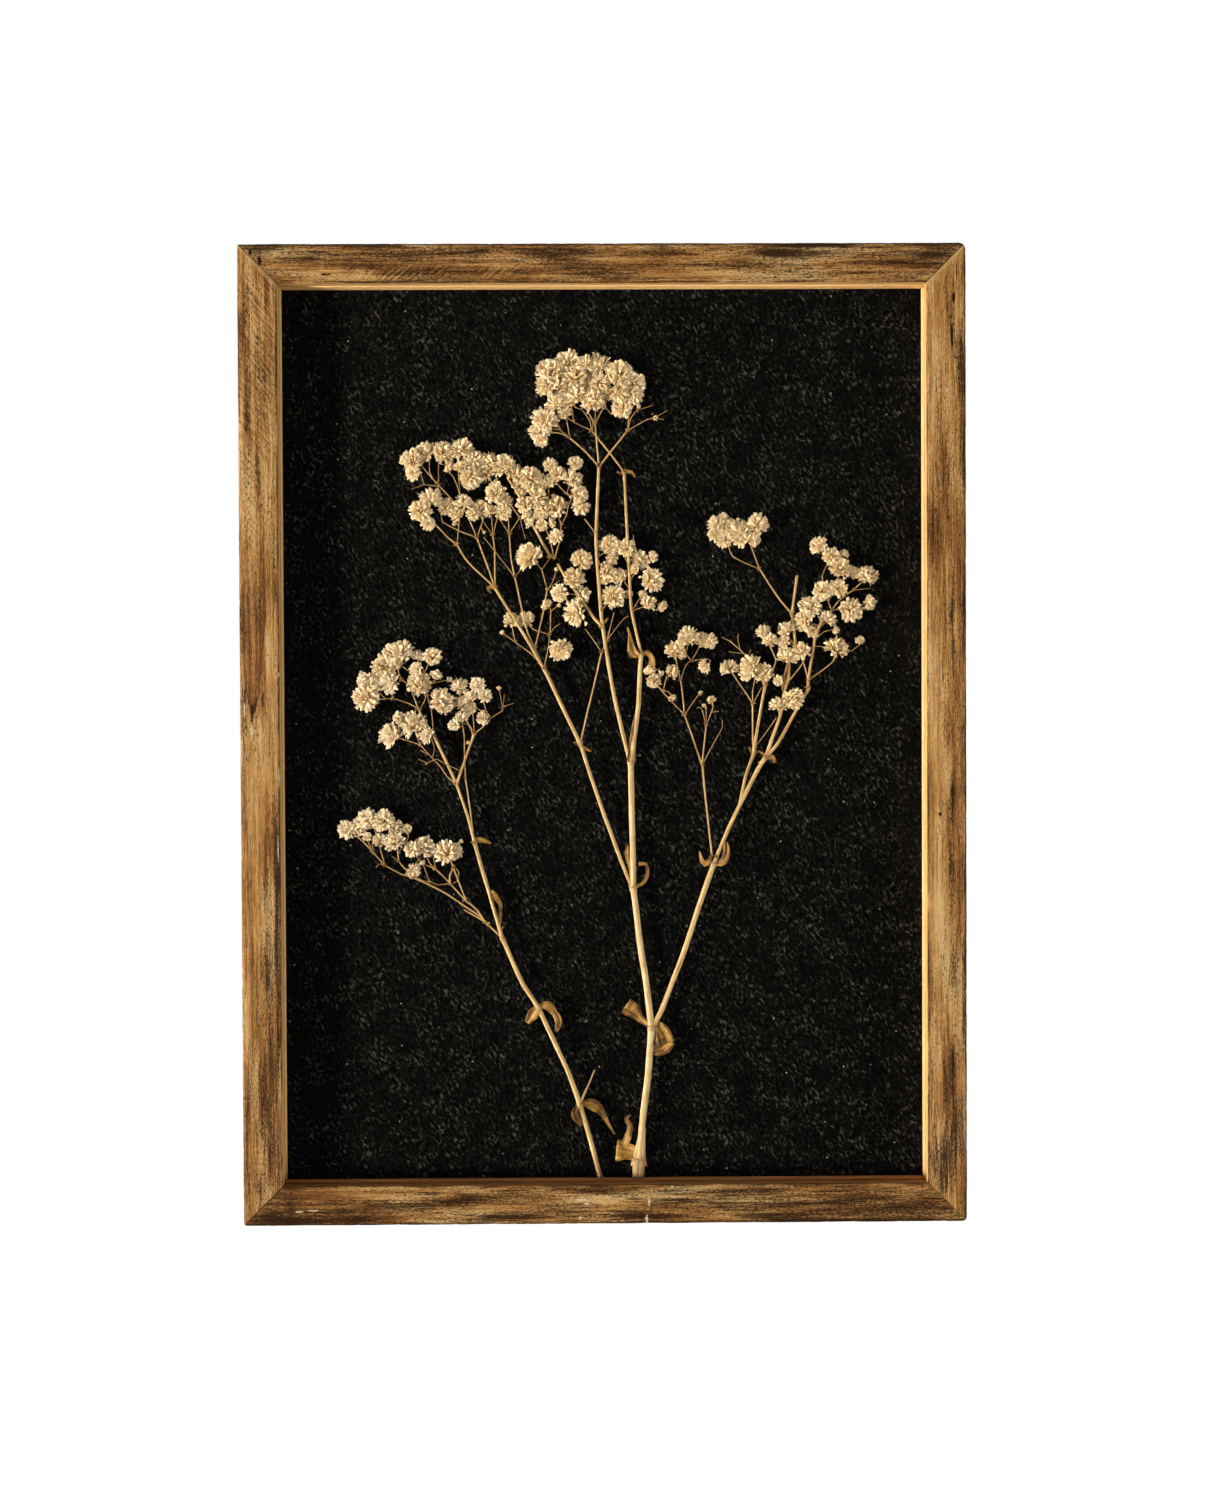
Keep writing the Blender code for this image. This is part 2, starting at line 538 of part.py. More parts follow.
RIGHT_BRANCH = {
    "shoots": [
        ([(15.5, 57.5), (30.5, 99)], 1.4, 1.7),
        ([(30.5, 99), (36, 111.5), (45, 128.5)], 1.2, 1.4),
        ([(31.2, 100.6), (37.5, 115), (41.5, 129)], 1, 1),
        ([(41.5, 129), (41.5, 143.5)], 0.8, 0.7),
        ([(41.5, 143.5), (35, 153.5)], 0.6, 0.6),
        ([(41.5, 129), (45, 148.5)], 1.1, 0.9),
        ([(45, 148.5), (48, 155.5), (46, 160.5)], 0.7, 0.5),
        ([(45, 128.5), (49, 140), (51.5, 151), (51.5, 155)], 1.2, 0.9),
        ([(45, 128.5), (48, 132), (57, 147.5)], 1.1, 1),
        ([(57, 147.5), (57, 150)], 1, 0.9),
        ([(57, 150), (61, 167)], 0.9, 0.7),
        ([(57, 150), (53.5, 160)], 0.7, 0.6),
        ([(57, 150), (64, 155.5), (65, 158)], 0.6, 0.5),
        ([(60.2, 163.8), (69.5, 175)], 0.6, 0.5),
        ([(69.5, 175), (73.5, 178.5)], 0.5, 0.4),
        ([(64.3, 168.8), (61.5, 174.5)], 0.5, 0.4),
        ([(63.9, 169.6), (69, 170)], 0.4, 0.4),
        ([(62.7, 172.1), (65.5, 180.5)], 0.4, 0.4),
        ([(61.5, 174.5), (62.5, 182.5)], 0.4, 0.4),
        ([(62.5, 182.5), (60, 187)], 0.4, 0.3),
        ([(53.5, 160), (52.5, 168.5)], 0.9, 0.8),
        ([(52.5, 168.5), (54, 179)], 0.9, 0.8),
        ([(52.5, 168.5), (43.5, 181)], 0.8, 0.7),
        ([(43.5, 181), (40.5, 189)], 0.6, 0.5),
        ([(43.5, 181), (36, 184.5), (34, 189.5)], 0.5, 0.4),
    ],
    "heads": [
        (35, 153.5, 5), (41, 154, 6), (39.5, 151.5, 3.5), (44.5, 152, 5.5), (48.5, 143, 5),
        (53, 145, 6, 50.3, 145.9), (31.5, 193.5, 5, 35, 187), (33.5, 189.5, 5), (33.5, 195, 3.5),
        (38, 191.5, 7, 41, 187.7), (43, 193.5, 6, 41.4, 186.5), (60, 187.5, 5), (63.5, 184.5, 5),
        (66, 181, 6), (69.5, 180, 4), (73.5, 179, 6), (61, 175, 5.5), (65.5, 175.5, 5),
        (69, 169.5, 6.5), (74, 171.5, 4, 69, 170), (57.5, 170.5, 6), (56, 166.5, 6, 60.5, 164.9),
        (62.5, 167, 5), (65, 159, 6.5), (44.5, 163.5, 4), (46.5, 161, 4.5), (51, 164, 5),
        (50.5, 160.5, 4.5), (51, 156.5, 6), (55, 158, 5), (58.5, 163.5, 3.5, 60.5, 164.9),
    ],
    "leaves": [
        [(30.6, 99.2, 1.5), (33, 99.5, 2), (34, 105, 1)],
        [(45.2, 128.7, 1.5), (47.5, 127, 1)],
        [(45.1, 128.9, 1), (43, 130.5, 0.5)],
        [(44.8, 128.2, 0.5), (43, 127, 0.5)],
        [(41.5, 129.5, 1), (40.5, 131.5, 0.5)],
        [(41.7, 130.1, 1), (43, 130, 1)],
        [(51.5, 154.5, 1), (50, 147, 1)],
    ],
}

INNER_RIGHT_BRANCH = {
    "shoots": [
        ([(30, 101.5), (27.5, 126)], 0.8, 0.9),
        ([(27.5, 126), (22.5, 140.5)], 0.7, 0.6),
        ([(22.5, 140.5), (13, 151)], 0.6, 0.5),
        ([(16.6, 147.1), (18, 153.5)], 0.4, 0.4),
        ([(22.5, 140.5), (21.5, 150)], 0.6, 0.6),
        ([(21.5, 150), (20, 157)], 0.5, 0.4),
        ([(21.5, 150), (24.5, 155.5)], 0.4, 0.4),
        ([(24.5, 155.5), (30, 155.5)], 0.4, 0.3),
        ([(24.5, 155.5), (27, 160)], 0.4, 0.3),
    ],
    "heads": [
        (23.5, 162, 6), (27, 161, 5), (29.5, 161, 4.5), (20, 158, 6), (19, 152.5, 4),
        (28.5, 154, 4, 29.8, 155.5), (13, 152.5, 3.5), (14, 150, 4),
    ],
    "leaves": [
        [(30, 101.5, 1), (28, 99, 1.5), (26.5, 102.5, 0.5)],
    ],
}

LEFT_SPRIG_STEM = {
    "shoots": [
        ([(-1.5, 11.5), (-7, 31.5)], 1.7, 1.7),
        ([(-7, 31.5), (-10.5, 41.5), (-18.5, 59)], 1.8, 1.7),
        ([(-18.5, 59), (-22.5, 65.5), (-28.5, 78.5)], 1.7, 1.5),
        ([(-7.1, 31.9), (-3, 41.5)], 0.9, 0.4),
    ],
    "heads": [
    ],
    "leaves": [
        [(-18.5, 59, 1), (-22, 54.5, 1)],
        [(-18.6, 59.1, 1.5), (-16, 59.5, 2), (-14, 53, 1)],
        [(-7, 31.5, 1), (-8.5, 30, 2), (-6.5, 26, 1)],
        [(-6.9, 32.4, 1), (-3.5, 31.5, 2.5), (2.5, 23.5, 0.5)],
    ],
}

LEFT_SPRIG_UPPER_BRANCH = {
    "shoots": [
        ([(-29, 80), (-36, 105)], 1.2, 1.2),
        ([(-36, 105), (-41, 121.5)], 1, 0.9),
        ([(-41, 121.5), (-47, 134.5)], 1, 0.9),
        ([(-47, 134.5), (-51.5, 142.5)], 0.8, 0.8),
        ([(-51.5, 142.5), (-56, 150.5)], 0.6, 0.5),
        ([(-51.5, 142.5), (-58.5, 145.5)], 0.6, 0.4),
        ([(-58.5, 145.5), (-59, 147.5)], 0.4, 0.3),
        ([(-47.2, 134.9), (-49, 146)], 0.5, 0.4),
        ([(-49, 146), (-51.5, 156)], 0.4, 0.4),
        ([(-49.5, 148), (-46.5, 151)], 0.3, 0.3),
        ([(-50.6, 152.2), (-47.5, 157)], 0.4, 0.3),
        ([(-41, 121.5), (-51, 132.5)], 0.6, 0.5),
        ([(-51, 132.5), (-53, 137.5)], 0.4, 0.4),
        ([(-51, 132.5), (-57, 134.5)], 0.4, 0.4),
        ([(-43.3, 126.6), (-51.5, 128.5)], 0.3, 0.3),
        ([(-41, 121.5), (-36, 135.5)], 0.9, 0.8),
        ([(-38.5, 123), (-40, 141.5)], 0.6, 0.4),
        ([(-36, 135.5), (-32, 139.5)], 0.7, 0.5),
        ([(-32, 139.5), (-34.5, 148.5)], 0.4, 0.4),
        ([(-40, 143), (-45, 144.5)], 0.4, 0.3),
        ([(-39.7, 142.4), (-39.5, 147.5)], 0.4, 0.4),
        ([(-39.7, 137.4), (-41, 138)], 0.3, 0.3),
        ([(-56, 150.5), (-61, 154.5)], 0.4, 0.4),
    ],
    "heads": [
        (-56, 158.5, 6.5), (-59, 158, 5), (-61, 154.5, 6.5), (-57.5, 154.5, 4), (-66, 150.5, 5.5),
        (-63, 151.5, 4), (-59, 149.5, 6), (-66, 145.5, 7.5), (-63.5, 148, 3.5), (-51.5, 157, 4),
        (-47.5, 157, 5), (-52, 153.5, 4), (-51.5, 149.5, 6.5), (-46.5, 151.5, 3.5), (-45, 144.5, 7),
        (-40, 148.5, 5), (-37, 145.5, 4), (-39.5, 144, 4.5), (-39.5, 141, 4.5), (-41.5, 138, 3.5),
        (-35, 149, 4.5), (-33, 146, 4), (-33.5, 140, 4), (-37, 142.5, 3.5), (-57, 140, 3.5),
        (-59, 135, 7), (-53, 138, 7.5), (-49, 135, 4.5),
    ],
    "leaves": [
        [(-36.2, 105.8, 1), (-31.5, 105, 0.5)],
        [(-29.3, 80.9, 0.5), (-29, 88, 1), (-31.5, 92, 0.5)],
        [(-29.1, 80.5, 0.5), (-28, 82, 0.5)],
    ],
}

LEFT_SPRIG_LOWER_BRANCH = {
    "shoots": [
        ([(-30.5, 80.5), (-38.5, 89)], 0.8, 0.8),
        ([(-38.5, 89), (-47, 98)], 0.7, 0.6),
        ([(-38.5, 89), (-43.5, 102.5)], 0.7, 0.6),
        ([(-32.1, 82.2), (-44, 91), (-53, 95.5)], 0.8, 0.7),
        ([(-53, 95.5), (-57, 100), (-57.5, 104)], 0.6, 0.5),
        ([(-47, 98), (-50, 103.5)], 0.5, 0.4),
    ],
    "heads": [
        (-71.5, 109, 5.5), (-68.5, 109.5, 5), (-66, 112, 5.5), (-65, 110, 3.5), (-61.5, 111.5, 6),
        (-58.5, 109.5, 5), (-58.5, 105.5, 6), (-62.5, 106, 4), (-53.5, 103.5, 4.5), (-50, 104, 6),
        (-44, 102.5, 6.5), (-41.5, 103, 4.5), (-53.5, 97.5, 4.5),
    ],
    "leaves": [
    ],
}

# ---------------------------------------------------------------- build

for old in list(bpy.data.objects):
    bpy.data.objects.remove(old)

stained_wood = material("stained_wood", (0.30, 0.18, 0.075), 0.6)
raw_wood = material("raw_wood", (0.52, 0.33, 0.15), 0.7)
clear_glass = material("clear_glass", (1.0, 1.0, 1.0), 0.02, transmission=1.0)
black_paper = material("black_paper", (0.012, 0.012, 0.011), 0.55)
hardboard = material("hardboard", (0.20, 0.11, 0.05), 0.8)
zinc_steel = material("zinc_steel", (0.55, 0.55, 0.56), 0.35, metallic=1.0)
brass_plate = material("brass_plated_steel", (0.72, 0.50, 0.20), 0.35, metallic=1.0)
dry_stem = material("dry_stem", (0.60, 0.42, 0.20), 0.6)
dry_flower = material("dry_flower", (0.78, 0.62, 0.38), 0.8)

for rail_side in ("top", "bottom", "left", "right"):
    make_rail(rail_side, stained_wood)
make_sheet("glass", GLASS_FRONT, GLASS_BACK, clear_glass)
make_spacers(raw_wood)
make_sheet("backing_paper", PAPER_FRONT, PAPER_BACK, black_paper)
make_sheet("backing_board", BOARD_FRONT, BOARD_BACK, hardboard)
make_tabs(zinc_steel)
make_hanger(brass_plate)
make_nail("hanger_nail_left", -1, brass_plate)
make_nail("hanger_nail_right", 1, brass_plate)

make_plant("main_stem", MAIN_STEM, dry_stem)
make_plant("left_branch", LEFT_BRANCH, dry_flower)
make_plant("centre_stems", CENTRE_STEMS, dry_flower)
make_plant("right_branch", RIGHT_BRANCH, dry_flower)
make_plant("inner_right_branch", INNER_RIGHT_BRANCH, dry_flower)
make_plant("left_sprig_stem", LEFT_SPRIG_STEM, dry_stem)
make_plant("left_sprig_upper_branch", LEFT_SPRIG_UPPER_BRANCH, dry_flower)
make_plant("left_sprig_lower_branch", LEFT_SPRIG_LOWER_BRANCH, dry_flower)
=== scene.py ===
import math
import random

import bpy
import numpy as np
from mathutils import Matrix, Vector, noise


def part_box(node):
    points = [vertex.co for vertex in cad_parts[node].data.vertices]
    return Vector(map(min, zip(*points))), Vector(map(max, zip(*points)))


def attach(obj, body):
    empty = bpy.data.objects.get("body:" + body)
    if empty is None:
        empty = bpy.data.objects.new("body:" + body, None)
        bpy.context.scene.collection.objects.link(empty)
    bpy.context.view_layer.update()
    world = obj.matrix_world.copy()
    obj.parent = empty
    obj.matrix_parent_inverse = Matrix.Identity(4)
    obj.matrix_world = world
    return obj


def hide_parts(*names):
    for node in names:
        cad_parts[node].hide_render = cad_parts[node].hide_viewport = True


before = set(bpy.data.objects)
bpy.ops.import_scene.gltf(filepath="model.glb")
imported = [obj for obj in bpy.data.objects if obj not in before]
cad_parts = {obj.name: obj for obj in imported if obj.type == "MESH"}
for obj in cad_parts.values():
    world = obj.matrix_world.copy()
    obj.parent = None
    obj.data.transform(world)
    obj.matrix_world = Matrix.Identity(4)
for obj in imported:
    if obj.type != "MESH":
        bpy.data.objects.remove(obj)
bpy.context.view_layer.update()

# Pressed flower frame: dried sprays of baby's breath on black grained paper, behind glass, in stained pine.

MM = 0.001

# ---------------------------------------------------------------- rails
# Four strips of planed pine, rebated behind and mitred at the corners, glued and nailed.
# They were brushed with a dark stain, rubbed back while wet and waxed, so that the stain stays in the
# pores, the planing marks and along the arrises, and the rest is a warm brown.

RAIL_OUTER_ROUND = 0.7      # mm, rubbed arris
RAIL_INNER_ROUND = 0.35
RAIL_BACK_ROUND = 0.4
RAIL_RAW_EDGE = 1.6         # mm down the inner edge, where the raw wood begins
RAIL_LIP = 3.0              # mm of wood in front of the glass
RAIL_WALL = 6.5             # mm of wood beside it
RAIL_MITRE_GAP = 0.03
RAIL_STATION = 0.9          # mm between two cross-sections of the mesh
RAIL_WEAR = 0.16            # mm that the arrises are worn back at most
RAIL_DENTS = 0.25           # mm
RAIL_SKIN = 0.05            # mm of planing waviness on the faces
FACE_WEAR = 0.12            # share of the wear that reaches the front, the inner arris and the sides
INNER_WEAR = 0.8
SIDE_WEAR = 0.15
SIDE_ROWS = (15.0, 11.0, 7.0, 4.0, 2.0)     # mm behind the front
FACE_COLUMNS = 12
RAIL_SPACING = 400.0        # mm along the grain from one rail to the next, so that no two look alike
RAIL_ORDER = ("left", "right", "bottom", "top")
RAIL_NUMBERS = ("along_mm", "across_mm", "depth_mm", "end_mm", "mitre", "edge", "edge_painted_shade", "stain", "sawn")
CORNER_ROUND = {            # mm, knocked corners of the finished frame
    ("left", "top"): 0.8, ("right", "top"): 2.3, ("left", "bottom"): 1.1, ("right", "bottom"): 1.6,
}
MITRE_TONES = {             # by rail and end: above 0 the mitre is a dark line, below 0 a pale one
    ("left", "top"): -0.7, ("top", "left"): 0.9, ("top", "right"): 1.0, ("right", "top"): -1.0,
    ("left", "bottom"): 0.8, ("bottom", "left"): 0.8, ("right", "bottom"): 0.35, ("bottom", "right"): 0.35,
}
RAIL_WASH = {"left": -0.12, "right": -0.12, "bottom": 0.18, "top": 0.1}       # stain left in the whole rail
RAIL_ARRIS = {"left": -0.6, "right": -0.05, "bottom": 0.1, "top": -0.05}      # mm, more or less stained edge
RAIL_EDGE_PAINTED_SHADE = {"left": 0.15, "right": 0.0, "bottom": 0.9, "top": 0.15}     # painted shade on the raw inner edge, most on the bottom rail, whose edge faces up

# Stain that was left standing: (along, across, length, width, strength) in mm. Along runs from the left end
# or from the foot, and across runs from the outer edge. A negative strength was rubbed bare.
STAIN_BLOTS = {
    "left": (
        (240, 5.5, 60, 12, 0.28), (226, 2.6, 16, 1.2, 0.6), (207, 5.5, 16, 3, 0.28),
        (95, 10.2, 46, 1.6, 0.95), (60, 9.8, 50, 1.4, 0.8), (72, 7, 34, 3.5, 0.5), (96, 7, 18, 2.6, 0.4),
        (40, 6, 30, 5, 0.5), (22, 8, 22, 3, 0.55), (12, 5, 12, 7, 0.45), (34, 1.6, 18, 1.4, 0.7),
        (100, 3.5, 60, 4.5, -0.55), (122, 7.5, 26, 3, -0.45), (58, 1.8, 24, 2.6, -0.4),
        (178, 10, 40, 1.2, 0.5), (165, 8.8, 40, 2.2, -0.45), (262, 6.5, 8, 5, -0.3), (140, 1, 34, 1.4, 0.45),
    ),
    "right": (
        (238, 2, 26, 2.4, 0.6), (250, 4.4, 14, 1.4, 0.8), (215, 1, 50, 1.6, 0.6), (200, 4.6, 30, 2.6, 0.32),
        (196, 8.6, 36, 2.4, 0.25), (171, 0.8, 12, 1.2, 0.9), (168, 4.2, 12, 1.2, 0.7),
        (150, 3.6, 50, 2.4, 0.28), (118, 4, 16, 1, 0.9), (96, 4.4, 30, 1.2, 0.85), (70, 3.6, 22, 1.3, 0.9),
        (44, 3.8, 14, 1.4, 0.9), (28, 2.6, 22, 4.5, 0.8), (16, 6.5, 18, 7, 0.62), (34, 6.5, 22, 5, 0.35),
        (130, 9, 60, 3, -0.5), (90, 8.4, 36, 3.5, -0.35), (246, 8.5, 24, 4, -0.45), (110, 1.2, 40, 1.2, 0.4),
        (64, 0.9, 40, 1.2, 0.5),
    ),
    "bottom": (
        (13.2, 5.5, 3.4, 14, 0.3), (58, 6.2, 16, 1.4, 0.6), (22, 1.2, 30, 2.2, 0.6), (74, 2.4, 22, 2.6, 0.4),
        (63, 7.5, 14, 2.5, 0.4), (8, 3, 10, 5, 0.4), (110, 2.2, 16, 2.2, 0.5), (145, 2, 16, 2, 0.5),
        (152, 5.5, 44, 6, 0.22), (178, 4, 34, 7, 0.36), (120, 6.2, 14, 1.4, 0.6), (140, 9, 18, 1.2, 0.6),
        (26, 8.5, 24, 2.4, -0.8), (45, 9.2, 18, 2, -0.5), (100, 6, 18, 3.5, -0.3), (186, 9.5, 18, 1.2, -0.3),
        (165, 0.6, 40, 1, 0.9), (96, 9, 14, 2, 0.4),
    ),
    "top": (
        (40, 3, 34, 5, 0.3), (62, 2.6, 30, 4.5, 0.15), (22, 4.4, 14, 1.1, 0.3), (50, 8, 26, 3.5, 0.35),
        (14, 5, 12, 8, 0.1), (88, 4, 22, 4, 0.3), (100, 8, 16, 3, 0.45), (90, 1.5, 16, 2.4, 0.5),
        (150, 2.8, 17, 2.2, 1.3), (157, 0.6, 26, 1.2, 1.4), (143, 6.5, 20, 3, 0.3), (183, 4, 22, 6.5, 0.3),
        (192, 2.5, 12, 5, 0.6), (172, 8.4, 26, 1.4, 0.4), (118, 3, 14, 3, 0.35), (128, 9, 20, 2.6, -0.5),
        (77, 9.2, 16, 2, -0.4), (24, 8.2, 16, 4, -0.5), (110, 5.2, 22, 2.6, -0.35), (6, 3, 6, 7, 0.4),
    ),
}
# Slanting scratches of a coarse saw, written as the blots are
SAW_MARKS = {
    "left": ((251, 6, 34, 12, 0.8), (222, 5, 30, 10, 0.7), (196, 4, 20, 8, 0.45)),
    "right": ((250, 6, 12, 8, 0.35),),
    "bottom": (),
    "top": ((42, 8.3, 36, 5.5, 0.6), (76, 8, 26, 5, 0.5)),
}
# Small marks: (rail, along, across, length, width) in mm, measured as the blots are
PALE_CHIPS = (
    ("bottom", 15.4, 4, 2.3, 0.45), ("bottom", 19.2, 4.3, 3, 0.4), ("bottom", 93.2, 6.8, 3.2, 0.5),
    ("bottom", 94.6, 5.6, 1.6, 0.5), ("bottom", 92.8, 1.8, 0.7, 1.1), ("bottom", 118.2, 10.2, 0.9, 0.8),
    ("bottom", 111.9, 6, 0.6, 2.2), ("bottom", 111.2, 1.3, 0.8, 2.4), ("left", 136.4, 3.2, 5, 0.55),
    ("left", 142.5, 1.3, 4.2, 0.45), ("left", 139.2, 5, 1.6, 0.4), ("left", 123.8, 10.7, 6, 0.4),
    ("left", 152, 10.8, 1.8, 0.4), ("left", 104, 10.3, 7, 0.3), ("left", 262.2, 9.2, 2, 0.5),
    ("top", 15.5, 8.8, 2, 0.25),
)
DARK_SPOTS = (
    ("right", 112.9, 7.4, 1.1, 1), ("left", 141.4, 3.4, 6, 0.8), ("left", 145.6, 1.5, 6.5, 0.5),
    ("left", 145, 6.4, 5, 0.45), ("top", 6.3, 4.6, 1, 3.2), ("top", 3.8, 2.4, 1, 2),
    ("top", 24.5, 8.5, 3.2, 0.7), ("right", 255, 3.4, 3.2, 0.9), ("right", 262, 2.6, 6, 0.35),
    ("right", 244.5, 3.9, 8, 0.8),
)
# Thin streaks of stain that the grain breaks up, written as the marks are
STAIN_STREAKS = (
    ("bottom", 145.7, 8.5, 8.3, 1), ("bottom", 163.4, 8.7, 13, 0.6), ("bottom", 121, 6.5, 14, 0.6),
    ("bottom", 134, 5.6, 16, 0.9), ("bottom", 140, 2.2, 12, 1.3), ("bottom", 108, 3.4, 13, 0.9),
    ("bottom", 159, 0.3, 29, 0.9), ("bottom", 190.5, 6.5, 7, 0.5), ("bottom", 42, 5.4, 20, 1.6),
    ("bottom", 62.4, 8, 6, 0.6), ("bottom", 70, 1.6, 12, 1.2), ("bottom", 92, 3.4, 12, 0.8),
    ("top", 17, 4.3, 14, 1.2), ("top", 22.5, 2.3, 7, 0.7), ("top", 65, 3.8, 3, 0.8),
    ("top", 82, 1.6, 20, 0.7), ("top", 90, 3, 18, 0.7), ("top", 77.5, 8, 6, 1.6), ("top", 154, 3.1, 16, 1.8),
    ("top", 111, 9.8, 20, 0.6), ("top", 46, 10.6, 54, 0.8), ("top", 156, 0.5, 16, 0.9),
    ("right", 156, 3.6, 12, 0.9), ("right", 163, 0.8, 20, 1),
)
# The pointed end of a growth ring on the left rail
RING_TIP_ALONG = 140.4      # mm from the foot
RING_MIDDLE = 4.4           # mm from the outer edge
RING_BLUNTNESS = 0.55       # mm
RING_WAVER = 1.6            # mm that the patches of the grain push its outline
RING_SINK = 8.0             # how fast it ends down the outer side
RING_FADE = (24.0, 40.0)    # mm from its tip
RING_RIM = 0.9              # how far inside its outline the dark rim runs
RING_RIM_FADE = (1.0, 17.0)     # mm from its tip

rail_low, rail_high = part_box("rail_left")
RAIL_FACE = (rail_high.x - rail_low.x) / MM
RAIL_DEPTH = (rail_high.y - rail_low.y) / MM
FRONT = rail_low.y / MM
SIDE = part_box("rail_right")[1].x / MM
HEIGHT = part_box("rail_top")[1].z / MM


def rail_section():
    """Closed outline of a rail: (across from its outer edge, depth from its front, how far wear reaches)."""
    outline = []
    for step in range(5, -1, -1):
        turn = math.radians(90.0 * step / 5)
        across = RAIL_OUTER_ROUND * (1 - math.sin(turn))
        outline.append((across, RAIL_OUTER_ROUND * (1 - math.cos(turn)), 1.0))
    flat = RAIL_FACE - RAIL_OUTER_ROUND - RAIL_INNER_ROUND
    for step in range(1, FACE_COLUMNS):
        outline.append((RAIL_OUTER_ROUND + flat * step / FACE_COLUMNS, 0.0, FACE_WEAR))
    for step in range(5):
        turn = math.radians(90.0 * step / 4)
        across = RAIL_FACE - RAIL_INNER_ROUND * (1 - math.sin(turn))
        outline.append((across, RAIL_INNER_ROUND * (1 - math.cos(turn)), INNER_WEAR))
    outline += [(RAIL_FACE, RAIL_RAW_EDGE, 0.1), (RAIL_FACE, RAIL_LIP, 0.0), (RAIL_WALL, RAIL_LIP, 0.0)]
    outline += [(RAIL_WALL, SIDE_ROWS[1], 0.0), (RAIL_WALL, RAIL_DEPTH, 0.0)]
    outline += [(RAIL_BACK_ROUND, RAIL_DEPTH, 0.0), (0.0, RAIL_DEPTH - RAIL_BACK_ROUND, 2 * SIDE_WEAR)]
    return outline + [(0.0, depth, SIDE_WEAR) for depth in SIDE_ROWS]


def wood_point(side, along, across, depth):
    """A place on a rail: along it from the left or the foot, across from its outer edge, then depth."""
    x, z = {"left": (across - SIDE, along), "right": (SIDE - across, along),
            "bottom": (along - SIDE, across), "top": (along - SIDE, HEIGHT - across)}[side]
    return Vector((x, FRONT + depth, z)) * MM


def knock_corner(place):
    """Round the outline of the whole frame a little where two rails meet."""
    corner = ("right" if place.x > 0 else "left", "top" if place.z > HEIGHT * MM / 2 else "bottom")
    reach = CORNER_ROUND[corner] * MM
    in_x = SIDE * MM - abs(place.x)
    in_z = min(place.z, HEIGHT * MM - place.z)
    short = Vector((reach - in_x, reach - in_z))
    if in_x < reach and in_z < reach and short.length > reach:
        short *= reach / short.length
        place.x = math.copysign(SIDE * MM - reach + short.x, place.x)
        rise = reach - short.y
        place.z = rise if place.z < HEIGHT * MM / 2 else HEIGHT * MM - rise
    return place


def stain_at(blots, along, across):
    """How much a rail's blots come to at a place on it, each fading out from its middle."""
    left = 0.0
    for blot_along, blot_across, blot_length, blot_width, strength in blots:
        away = ((along - blot_along) / blot_length * 2) ** 2 + ((across - blot_across) / blot_width * 2) ** 2
        left += strength * math.exp(-away * 1.2)
    return left


def build_piece(name, points, faces, numbers, finishes, node_name):
    """A mesh in place of a CAD node, with a number of each sort at every point for its materials to read."""
    mesh = bpy.data.meshes.new(name)
    mesh.from_pydata(points, [], faces)
    for sort, values in numbers.items():
        values = np.asarray(values, dtype=np.float32)
        mesh.attributes.new(sort, "FLOAT", "POINT").data.foreach_set("value", values)
    for finish in finishes:
        mesh.materials.append(finish)
    mesh.shade_smooth()
    piece = bpy.data.objects.new(name, mesh)
    bpy.context.scene.collection.objects.link(piece)
    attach(piece, "root")
    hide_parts(node_name)
    return mesh


def make_rail(side, finish):
    """One rail, worn and dented along its arrises, with the numbers that tell its finish what lies where."""
    section = rail_section()
    order = RAIL_ORDER.index(side)
    upright = side in ("left", "right")
    length = HEIGHT if upright else 2 * SIDE
    ends = ("bottom", "top") if upright else ("left", "right")
    stations = round(length / RAIL_STATION)
    points = []
    rows = []
    for station in range(stations + 1):
        for across, depth, wear in section:
            reach = across + RAIL_MITRE_GAP
            along = reach + (length - 2 * reach) * station / stations
            spot = Vector((along, across * 3, depth * 3)) / 9.0 + Vector((50.0 * order, 0, 0))
            rubbed = max(0.0, noise.noise(spot) + 0.25) * RAIL_WEAR
            rubbed += max(0.0, noise.noise(spot * 5)) * RAIL_DENTS
            sunk = wear * rubbed + RAIL_SKIN * (0.5 + 0.5 * noise.noise(spot * 3)) * (wear > 0)
            inward = Vector((RAIL_FACE / 2 - across, RAIL_DEPTH / 2 - depth)).normalized() * sunk
            if wear == FACE_WEAR:
                inward = Vector((0.0, sunk))
            points.append(knock_corner(wood_point(side, along, across + inward.x, depth + inward.y)))
            rows.append((
                along + RAIL_SPACING * order, across, depth, min(along, length - along) - reach,
                MITRE_TONES[side, ends[along > length / 2]], RAIL_ARRIS[side], RAIL_EDGE_PAINTED_SHADE[side],
                stain_at(STAIN_BLOTS[side], along, across) + RAIL_WASH[side],
                stain_at(SAW_MARKS[side], along, across)))
    count = len(section)
    faces = [(a + k, a + (k + 1) % count, a + (k + 1) % count + count, a + k + count)
             for a in range(0, stations * count, count) for k in range(count)]
    faces.append(tuple(range(count - 1, -1, -1)))
    faces.append(tuple(range(stations * count, stations * count + count)))
    if side in ("right", "bottom"):
        faces = [face[::-1] for face in faces]
    mesh = build_piece("stained_rail_" + side, points, faces, dict(zip(RAIL_NUMBERS, zip(*rows))), [finish],
                       "rail_" + side)
    mesh.set_sharp_from_angle(angle=math.radians(50))


def srgb(hex_colour):
    """A colour written as sRGB hex, as linear RGBA."""
    parts = [int(hex_colour[i:i + 2], 16) / 255.0 for i in (1, 3, 5)]
    return tuple(c / 12.92 if c <= 0.04045 else ((c + 0.055) / 1.055) ** 2.4 for c in parts) + (1.0,)


